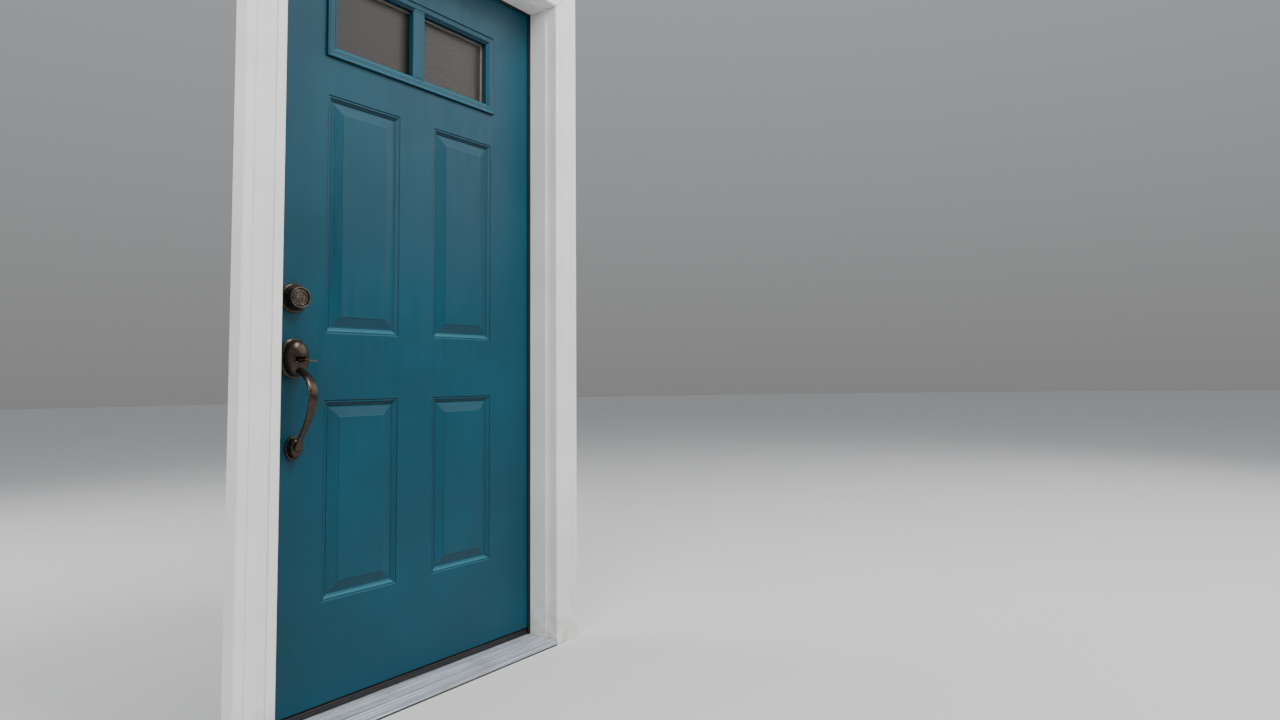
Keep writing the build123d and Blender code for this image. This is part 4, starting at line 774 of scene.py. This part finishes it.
# Layers of the dome in millimetres: how proud, half width and half height
DOME_BOWL = ((0, 30, 45), (4.5, 29.5, 44.5), (7, 27.4, 42.6), (10.5, 26.6, 42), (14, 27.2, 42.6))
DOME_COLLAR = ((15.6, 28.6, 44), (17, 29.1, 44.5), (18.4, 28.6, 44), (19.2, 27.4, 42.8))
CAP_FOOT = 18.6
CAP_RADII = (18, 27.8, 43.2)
DOME_HALF_WIDE = 28
HOLLOW_WALL = 3.2
HOLLOW_REACH = 0.87

# The grip's centreline in millimetres: depth, height, half width and half thickness
GRIP_LINE = (
    (57, 867, 10.5, 8), (44, 862.5, 10.2, 7.6), (33, 858, 9.8, 6.6), (20, 851, 10.2, 5.6),
    (6, 840.5, 11, 4.9), (-6, 824, 11.8, 4.4), (-12, 806, 12.2, 4.1), (-12.5, 788, 12, 4),
    (-7, 767, 11, 3.9), (3.5, 745, 9.4, 3.9), (17, 724, 7.8, 4.1), (30, 705, 7, 4.3),
    (37.5, 692, 7.8, 4.2), (41, 681, 9.6, 3.9), (42, 673, 9.6, 3.7), (42.2, 669.4, 7.6, 3),
)
SLOT_HALF_WIDE = 12.5 * MM
SLOT_DEPTHS = (25 * MM, 56 * MM)
SLOT_HEIGHTS = (882 * MM, 893.2 * MM)
CAST_CELL = 0.95 * MM
CAST_EASING = 5


def dome_layers():
    """Every layer of the dome: a waisted bowl, a collar ring and a cap."""
    layers = [*DOME_BOWL, *DOME_COLLAR]
    proud, wide, high = CAP_RADII
    for degrees in range(8, 90, 8):
        angle = math.radians(degrees)
        share = math.cos(angle)
        layers.append((CAP_FOOT + proud * math.sin(angle), wide * share, high * share))
    return layers


def dome_solid(name, back_y, wall=0.0, reach=1.0):
    """The dome, or its hollow when given a wall and a share of its reach, standing on a plane."""
    layers = []
    for proud, wide, high in dome_layers():
        thin = wall * wide / DOME_HALF_WIDE
        layers.append((back_y - proud * reach * MM, (wide - thin) * MM, (high - thin) * MM))
    return layered(name, layers, PLATE_SQUARE, 120, plate_z)


def back_plate():
    """The handle's plate: a long rounded outline with a stepped, rolled edge."""
    layers = [
        (face_y - proud * MM, PLATE_HALF_WIDE - inset * MM, PLATE_HALF_HIGH - inset * MM)
        for inset, proud in PLATE_EDGE
    ]
    return layered("handle_plate", layers, PLATE_SQUARE, 160, plate_z)


def lower_post():
    """The post from the grip's foot to the door."""
    foot_y = GRIP_LINE[-2][0] * MM
    profile = shifted(0, foot_y, (0, 0), (6.2, 0), (5.6, 8), (6.5, 17)) + shifted(0, face_y, (6.5, 0), (0, 0))
    return turned("handle_post", "bronze", profile, lock_x, foot_z, 48)


def thumb_slot():
    """The block that is cut out of the dome, where the thumb piece passes through."""
    left, right = lock_x - SLOT_HALF_WIDE, lock_x + SLOT_HALF_WIDE
    front, back = SLOT_DEPTHS
    corners = ((left, front), (right, front), (right, back), (left, back))
    return skinned("thumb_slot_tool", "bronze", [[(x, y, z) for x, y in corners] for z in SLOT_HEIGHTS])


def handle_casting():
    """Plate, hollow dome, grip and lower post in one cast piece with soft inner corners."""
    casting = back_plate()
    combine(casting, dome_solid("handle_dome", face_y), "UNION")
    combine(casting, skinned("handle_grip", "bronze", swept(GRIP_LINE, 7, GRIP_SQUARE, 48)), "UNION")
    combine(casting, lower_post(), "UNION")
    hollow = dome_solid("dome_hollow", face_y + TOOL_PAST, HOLLOW_WALL, HOLLOW_REACH)
    combine(casting, hollow, "DIFFERENCE")
    combine(casting, thumb_slot(), "DIFFERENCE")
    melt = casting.modifiers.new("melt", "REMESH")
    melt.mode = "VOXEL"
    melt.voxel_size = CAST_CELL
    relax = casting.modifiers.new("relax", "SMOOTH")
    relax.factor = 0.5
    relax.iterations = CAST_EASING
    apply_modifiers(casting)
    casting.name = "handle_casting"
    casting.data.materials.clear()
    casting.data.materials.append(finishes["bronze"])
    casting.data.shade_smooth()
    return casting


mount_piece(handle_casting(), "door", "bronze", "handle")


# Lower rose and thumb piece

LOWER_ROSE_ASIDE = 3 * MM
LOWER_ROSE_SQUASH = 0.68

# The thumb piece's centreline in millimetres, as for the grip
THUMB_LINE = (
    (88, 888.6, 4, 1.7), (68, 886.6, 4.4, 2.2), (60, 886, 8.4, 2.4), (46, 885.6, 8.2, 2),
    (34, 885.4, 7.4, 1.8), (24, 886, 7, 1.8), (12, 886.4, 8.2, 1.7), (3, 886, 10.2, 1.7),
    (-5, 884.4, 11, 1.6), (-11.5, 882.9, 9.9, 1.5), (-14.6, 882.6, 7.2, 1.2), (-15.4, 882.6, 4, 0.7),
)
PAD_DISH = 0.9 * MM
PAD_END = 14
PIN_CENTRE = (60 * MM, 886 * MM)
PIN_RADIUS = 1.6 * MM
PIN_HALF = 14.5 * MM


def lower_rose_cap():
    """The lower rose: a rimmed base and a low dome round the grip's post."""
    front, base, wide = span("lower_rose")
    profile = [(0, base)] + shifted(wide, base, (-0.4, 0), (0, -0.8), (0, -3))
    profile += arc((wide - 1.6 * MM, base - 3 * MM), 1.6 * MM, 0, -85, 6)
    profile += shifted(wide, base, (-3.4, -5))
    dome = shifted(wide, base, (-3.8, -6.5), (-4.6, -13), (-8, -19), (-14, -22))
    profile += curve_points(dome + shifted(0, front, (10, -3.6), (8.9, -3.8)), 6)
    profile += shifted(0, front, (6, -2.9), (0, -2.9))
    centre_x = lock_x + LOWER_ROSE_ASIDE
    return turned("lower_rose_cap", "bronze", profile, centre_x, foot_z, squash=LOWER_ROSE_SQUASH)


def thumb_piece():
    """The thumb piece: an arm that widens to a dished pad, with its pivot pin, in the lighter bronze: thumb
    wear and a painted highlight.
    """
    strap = swept(THUMB_LINE, 6, THUMB_SQUARE, 40, PAD_DISH, PAD_END)
    pin = [
        [(x, PIN_CENTRE[0] + y, PIN_CENTRE[1] + z) for y, z in circle(PIN_RADIUS, 20)]
        for x in (lock_x - PIN_HALF, lock_x + PIN_HALF)
    ]
    return soften(skinned("thumb_piece", "bronze_worn_highlit", strap, pin), 45)


mount_piece(lower_rose_cap(), "door", "bronze", "lower_rose")
mount_piece(thumb_piece(), "thumb_lever", "bronze", "thumb_lever")


# Inside trim

TAILPIECE_BORE = 6.6 * MM
KNOB_BORE = 10.9 * MM

# Layers of the thumbturn's paddle in millimetres: depth, half width and half height
PADDLE_LAYERS = (
    (10.5, 4, 9), (12, 4.6, 13.5), (14.5, 4.2, 17.2), (18, 3.4, 18), (21, 3, 17.2), (22.6, 2.2, 15),
)


def inside_rose(name, node, centre_z, bore, bore_z):
    """An inside rose with a rolled rim, a turned step and a bore for what turns in it."""
    base, crest, wide = span(node)
    profile = [(0, base)] + shifted(wide, base, (-0.4, 0), (0, 0.8)) + shifted(wide, crest, (0, -4.6))
    profile += arc((wide - 2.2 * MM, crest - 4.6 * MM), 2.2 * MM, 0, 80, 6)
    profile += shifted(wide, crest, (-3.4, -2))
    crown = shifted(wide, crest, (-3.8, -1.4), (-7, -0.4), (-12, 0)) + shifted(0, crest, (12, 0))
    profile += curve_points(crown, 5) + [(0, crest)]
    rose = turned(name, "bronze", profile, lock_x, centre_z)
    before, past = base - TOOL_PAST, crest + TOOL_PAST
    through = [(0, before), (bore, before), (bore, past), (0, past)]
    combine(rose, turned("rose_bore", "bronze", through, lock_x, bore_z, 64), "DIFFERENCE")
    return soften(rose)


def knob_turning():
    """The inside knob: collar, neck and a flattened ball with a turned ring on its face."""
    start, end, _ = span("inside_knob")
    profile = shifted(0, start, (0, 0), (10.5, 0), (10.5, 9.5))
    profile += arc((11 * MM, start + 11.5 * MM), 2 * MM, -90, 90, 8)
    neck = shifted(0, start, (10.4, 14), (9.6, 17.5), (11.2, 21), (16.5, 24.6), (23.4, 29.5))
    ball = shifted(0, start, (26.6, 36.5), (27, 41), (25.6, 48.5), (21.5, 54.6))
    profile += curve_points(neck + ball + shifted(0, end, (15.5, -1.2), (13.2, -0.5)), 6)
    profile += shifted(0, end, (12.6, -1.1), (11.8, -1.1), (11.2, -0.3), (0, 0))
    return turned("inside_knob_turning", "bronze", profile, lock_x, latch_z)


def turn_paddle():
    """The thumbturn: a collar on its shaft and a waisted paddle."""
    start, end, _ = span("thumbturn")
    collar = shifted(0, start, (0, 0), (6.2, 0), (6.2, 9), (8.4, 9.6), (8.6, 11), (6.4, 13), (0, 13))
    paddle = turned("thumbturn_paddle", "bronze", collar, lock_x, plug_z, 64)
    layers = [
        (min(start + depth * MM, end), half_wide * MM, half_high * MM)
        for depth, half_wide, half_high in curve_points(PADDLE_LAYERS, 4)
    ]
    combine(paddle, layered("paddle_blade", layers, PADDLE_SQUARE, 72, plug_z), "UNION")
    return soften(paddle)


deadbolt_trim = inside_rose("deadbolt_inside_trim", "deadbolt_inside_rose", bolt_z, TAILPIECE_BORE, plug_z)
mount_piece(deadbolt_trim, "door", "bronze", "deadbolt_inside_rose")
mount_piece(inside_rose("knob_trim", "knob_rose", latch_z, KNOB_BORE, latch_z), "door", "bronze", "knob_rose")
mount_piece(knob_turning(), "inside_knob", "bronze", "inside_knob")
mount_piece(turn_paddle(), "thumbturn", "bronze", "thumbturn")


# Lite: feet that let the bar's flat run into the sloping lip of the frame

FOOT_LENGTH = 7 * MM
FOOT_OVERLAP = 0.5 * MM


def bar_feet(name):
    """Four short lengths of the bar, one at each end of it, outside and inside."""
    half_bar = BAR_WIDTH / 2
    flat = half_bar - BAR_CHAMFER
    feet = []
    for wall, outward in ((face_y, -1), (inside_y, 1)):
        front = wall + outward * BAR_PROUD
        shoulder = front - outward * BAR_CHAMFER
        sunk = wall - outward * BAR_CHAMFER
        section = (
            (-half_bar, sunk), (-half_bar, shoulder), (-flat, front),
            (flat, front), (half_bar, shoulder), (half_bar, sunk),
        )
        for toward in (-1, 1):
            sight_line = LITE_CENTRE[1] + toward * (LITE_HALF[1] - LITE_BORDER)
            ends = (sight_line - toward * FOOT_OVERLAP, sight_line + toward * FOOT_LENGTH)
            feet.append([[(x, y, z) for x, y in section] for z in ends])
    return soften(skinned(name, "lite_paint", *feet), 32)


mount_piece(bar_feet("lite_bar_feet"), "door", "lite_paint")


# Node trees that set copies of a piece

# Head radius as a share of the CAD screw's, and how near a point is to an end of it to count as there
HEAD_SHARE = 0.97
END_BAND = 0.01 * MM
SCREW_SIDES = 24
SPIN_SEED = 7

# The pattern screw in shares of its head's radius: radius and height from the tip up, and its cross recess
SCREW_PROFILE = ((0.5, -6.0), (0.5, -1.0), (0.97, -0.16), (1.0, -0.08), (0.93, 0.0))
RECESS_ARM, RECESS_HALF = 0.62, 0.13
RECESS_ENDS = ((0.55, -0.65), (1.0, 0.1))


def start_tree(name, kinds):
    """A node tree that takes geometry and named inputs and gives geometry, and its input sockets."""
    tree = bpy.data.node_groups.new(name, "GeometryNodeTree")
    for label, kind in {"Geometry": "Geometry", **kinds}.items():
        tree.interface.new_socket(label, in_out="INPUT", socket_type="NodeSocket" + kind)
    tree.interface.new_socket("Geometry", in_out="OUTPUT", socket_type="NodeSocketGeometry")
    return tree, tree.nodes.new("NodeGroupInput").outputs


def end_tree(tree, start, instances):
    """Turn a tree's instances into mesh with the finish that it was given, and put them out."""
    real = add_node(tree, "GeometryNodeRealizeInstances", {"Geometry": instances})
    painted = {"Geometry": real.outputs["Geometry"], "Material": start["Finish"]}
    paint = add_node(tree, "GeometryNodeSetMaterial", painted)
    add_node(tree, "NodeGroupOutput", {"Geometry": paint.outputs["Geometry"]})


def run_tree(obj, tree, given):
    """Pass an object through a node tree with given inputs, and keep the mesh."""
    step = obj.modifiers.new(tree.name, "NODES")
    step.node_group = tree
    entries = {item.name: item.identifier for item in tree.interface.items_tree if item.in_out == "INPUT"}
    for label, value in given.items():
        step[entries[label]] = value
    apply_modifiers(obj)


# Screws: one pattern screw set at each place that the CAD screws mark


def loose_solids(node):
    """The separate solids of a CAD node, each as a list of points."""
    bm = bmesh.new()
    bm.from_mesh(nodes[node].data)
    bmesh.ops.remove_doubles(bm, verts=bm.verts, dist=SAME_PLACE)
    seen = set()
    solids = []
    for start in bm.verts:
        points, stack = [], [start]
        while stack:
            vert = stack.pop()
            if vert not in seen:
                seen.add(vert)
                points.append(vert.co.copy())
                stack += [edge.other_vert(vert) for edge in vert.link_edges]
        if points:
            solids.append(points)
    bm.free()
    return solids


def screw_place(points):
    """Head centre, outward direction and head radius of one CAD screw."""
    low = Vector(min(p[i] for p in points) for i in range(3))
    high = Vector(max(p[i] for p in points) for i in range(3))
    axis = max(range(3), key=lambda i: high[i] - low[i])
    centre = (low + high) / 2
    radii = []
    for end in (low, high):
        arms = [p - centre for p in points if abs(p[axis] - end[axis]) < END_BAND]
        for arm in arms:
            arm[axis] = 0.0
        radii.append(max(arm.length for arm in arms))
    faces_up = radii[1] >= radii[0]
    outward = Vector((0, 0, 0))
    outward[axis] = 1.0 if faces_up else -1.0
    head = centre.copy()
    head[axis] = high[axis] if faces_up else low[axis]
    return head, outward, max(radii)


def pattern_screw():
    """A countersunk screw of unit head radius with a cross recess, its head at the origin facing +Z."""
    rings = [[(x, y, height) for x, y in circle(radius, SCREW_SIDES)] for radius, height in SCREW_PROFILE]
    screw = skinned("pattern_screw", "zinc_steel", rings)
    arm, half = RECESS_ARM, RECESS_HALF
    cross = (
        (arm, half), (half, half), (half, arm), (-half, arm), (-half, half), (-arm, half),
        (-arm, -half), (-half, -half), (-half, -arm), (half, -arm), (half, -half), (arm, -half),
    )
    ends = [[(x * shrink, y * shrink, height) for x, y in cross] for shrink, height in RECESS_ENDS]
    combine(screw, skinned("recess_tool", "zinc_steel", ends), "DIFFERENCE")
    return screw


def screw_tree(pattern):
    """Node tree that sets the pattern screw on points, turned and sized by their attributes."""
    tree, start = start_tree("set_screws", {"Head Size": "Float", "Finish": "Material"})
    points = add_node(tree, "GeometryNodeMeshToPoints", {"Mesh": start["Geometry"]})
    named = "GeometryNodeInputNamedAttribute"
    outward = add_node(tree, named, {"Name": "outward"}, data_type="FLOAT_VECTOR").outputs["Attribute"]
    radius = add_node(tree, named, {"Name": "head_radius"}, data_type="FLOAT").outputs["Attribute"]
    aimed = add_node(tree, "FunctionNodeAlignRotationToVector", {"Vector": outward}, axis="Z")
    spin = add_node(tree, "FunctionNodeRandomValue", {"Seed": SPIN_SEED, 3: math.pi}, data_type="FLOAT")
    twist = add_node(tree, "ShaderNodeCombineXYZ", {"Z": spin.outputs[1]})
    own_turn = add_node(tree, "FunctionNodeEulerToRotation", {"Euler": twist.outputs["Vector"]})
    turns = {"Rotation": aimed.outputs["Rotation"], "Rotate By": own_turn.outputs["Rotation"]}
    turned_by = add_node(tree, "FunctionNodeRotateRotation", turns, rotation_space="LOCAL")
    scale = add_node(tree, "ShaderNodeMath", {0: radius, 1: start["Head Size"]}, operation="MULTIPLY")
    screw = add_node(tree, "GeometryNodeObjectInfo", {"Object": pattern})
    placed = {
        "Points": points.outputs["Points"], "Instance": screw.outputs["Geometry"],
        "Rotation": turned_by.outputs["Rotation"], "Scale": scale.outputs["Value"],
    }
    place = add_node(tree, "GeometryNodeInstanceOnPoints", placed)
    end_tree(tree, start, place.outputs["Instances"])
    return tree


def set_screws(name, node, body, key, tree):
    """Detailed screws in place of one CAD group of screws."""
    places = [screw_place(points) for points in loose_solids(node)]
    mesh = bpy.data.meshes.new(name)
    mesh.from_pydata([head for head, _, _ in places], [], [])
    mesh.attributes.new("outward", "FLOAT_VECTOR", "POINT")
    mesh.attributes.new("head_radius", "FLOAT", "POINT")
    for index, (_, outward, radius) in enumerate(places):
        mesh.attributes["outward"].data[index].vector = outward
        mesh.attributes["head_radius"].data[index].value = radius
    obj = put_in_scene(name, mesh)
    run_tree(obj, tree, {"Head Size": HEAD_SHARE, "Finish": finishes[key]})
    mount_piece(soften(obj, 30), body, key, node)


pattern = pattern_screw()
screws = screw_tree(pattern)
for name, node, body, key in (
    ("door_leaf_screws", "door_hinge_screws", "door", "bronze"),
    ("jamb_leaf_screws", "jamb_hinge_screws", "frame", "bronze"),
    ("strike_plate_screws", "strike_screws", "frame", "bronze"),
    ("frame_fixing_screws", "frame_screws", "frame", "zinc_steel"),
    ("lock_fixing_screws", "lock_screws", "door", "bronze"),
    ("lite_fixing_screws", "lite_screws", "door", "zinc_steel"),
):
    set_screws(name, node, body, key, screws)
bpy.data.objects.remove(pattern)


# Sill: fine raised ribs along the aluminium deck

DECK_FRONT_HEIGHT = 18 * MM
DECK_DOOR_HEIGHT = 25 * MM
RIB_PITCH = 4.4 * MM

# Half-round section of a rib in millimetres, front to back and up
RIB_SECTION = ((-0.75, -0.15), (-0.6, 0.18), (-0.3, 0.42), (0, 0.5), (0.3, 0.42), (0.6, 0.18), (0.75, -0.15))


def rib_tree():
    """Node tree that lays low ribs side by side down the deck's slope."""
    tree, start = start_tree("lay_ribs", {"Count": "Int", "Offset": "Vector", "Finish": "Material"})
    spaced = {"Count": start["Count"], "Offset": start["Offset"]}
    line = add_node(tree, "GeometryNodeMeshLine", spaced, mode="OFFSET")
    placed = {"Points": line.outputs["Mesh"], "Instance": start["Geometry"]}
    place = add_node(tree, "GeometryNodeInstanceOnPoints", placed)
    end_tree(tree, start, place.outputs["Instances"])
    return tree


def deck_ribs(name, half_length, start_y, count, tree):
    """A run of low half-round ribs on the deck, from a depth toward the door."""
    deck_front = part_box("sill_deck")[0].y
    slope = (DECK_DOOR_HEIGHT - DECK_FRONT_HEIGHT) / (face_y - deck_front)
    top = DECK_FRONT_HEIGHT + (start_y - deck_front) * slope
    ends = [
        [(x, start_y + along * MM, top + up * MM) for along, up in RIB_SECTION]
        for x in (-half_length, half_length)
    ]
    ribs = skinned(name, "mill_aluminium", ends)
    offset = (0.0, RIB_PITCH, RIB_PITCH * slope)
    run_tree(ribs, tree, {"Count": count, "Offset": offset, "Finish": finishes["mill_aluminium"]})
    mount_piece(soften(ribs, 60), "frame", "mill_aluminium")


ribs = rib_tree()
deck_ribs("deck_ribs_front", 452 * MM, -37.5 * MM, 8, ribs)
deck_ribs("deck_ribs_back", 443.5 * MM, 2.5 * MM, 15, ribs)


# Stage: pale floor and surroundings, soft light, and the photograph's viewpoint

FLOOR_RADIUS = 45.0
HORIZON = (0.46, 0.46, 0.46, 1)
SKY = (0.86, 0.9, 0.95, 1)
SKY_RISE = (-0.02, 0.7)

# The photograph in pixels, and the camera fitted to it: place in metres and turns in degrees
PHOTO_WIDTH, PHOTO_HEIGHT = 1280.0, 720.0
FOCAL_PIXELS = 821.25
PHOTO_CENTRE = (728.04, 331.45)
CAMERA_PLACE = (-1.549276, -1.831437, 0.822407)
CAMERA_TURNS = ((2.413, "X"), (-2.552, "Y"), (-59.906, "Z"), (90, "X"))
SENSOR_WIDTH = 36.0
NEAREST_SEEN = 0.05


def round_floor(radius):
    """A wide round floor that reaches the horizon."""
    bm = bmesh.new()
    bmesh.ops.create_circle(bm, cap_ends=True, cap_tris=True, segments=96, radius=radius)
    floor = new_object("floor", bm, "pale_floor")
    floor.data.shade_smooth()


def soft_light(name, place, aim, size, power):
    """A rectangular area light that faces a point."""
    data = bpy.data.lights.new(name, "AREA")
    data.shape = "RECTANGLE"
    data.size, data.size_y = size
    data.energy = power
    lamp = put_in_scene(name, data)
    lamp.location = place
    lamp.rotation_euler = (Vector(aim) - Vector(place)).to_track_quat("-Z", "Y").to_euler()


def studio_world(strength):
    """Pale surroundings, brighter above."""
    world = bpy.data.worlds.new("studio")
    world.use_nodes = True
    tree = world.node_tree
    place = add_node(tree, "ShaderNodeTexCoord").outputs["Generated"]
    height = add_node(tree, "ShaderNodeSeparateXYZ", {"Vector": place}).outputs["Z"]
    limits = {"Value": height, "From Min": SKY_RISE[0], "From Max": SKY_RISE[1]}
    rise = add_node(tree, "ShaderNodeMapRange", limits)
    tones = {0: rise.outputs["Result"], 6: HORIZON, 7: SKY}
    tone = add_node(tree, "ShaderNodeMix", tones, data_type="RGBA").outputs[2]
    back = tree.nodes["Background"]
    tree.links.new(tone, back.inputs["Color"])
    back.inputs["Strength"].default_value = strength
    bpy.context.scene.world = world


def photo_camera():
    """Camera fitted to the photograph."""
    data = bpy.data.cameras.new("photo_camera")
    data.sensor_fit = "HORIZONTAL"
    data.sensor_width = SENSOR_WIDTH
    data.lens = FOCAL_PIXELS / PHOTO_WIDTH * SENSOR_WIDTH
    data.shift_x = (PHOTO_WIDTH / 2 - PHOTO_CENTRE[0]) / PHOTO_WIDTH
    data.shift_y = (PHOTO_CENTRE[1] - PHOTO_HEIGHT / 2) / PHOTO_WIDTH
    data.clip_start = NEAREST_SEEN
    camera = put_in_scene("photo_camera", data)
    stand = Matrix.Identity(4)
    for degrees, axis in CAMERA_TURNS:
        stand = stand @ Matrix.Rotation(math.radians(degrees), 4, axis)
    camera.matrix_world = Matrix.Translation(CAMERA_PLACE) @ stand
    bpy.context.scene.camera = camera


round_floor(FLOOR_RADIUS)
studio_world(0.5)
soft_light("key_light", (0.4, -3.4, 5.8), (0.0, 0.0, 1.0), (2.2, 2.2), 330)
soft_light("left_light", (-4.6, -2.6, 3.4), (0.0, 0.0, 0.9), (2.4, 2.4), 190)
soft_light("sky_light", (4.8, -3.6, 4.1), (0.0, 0.0, 1.3), (6.4, 3.4), 170)
soft_light("back_light", (-1.5, 4.6, 3.8), (0.0, 0.1, 1.2), (3.2, 3.2), 190)
photo_camera()
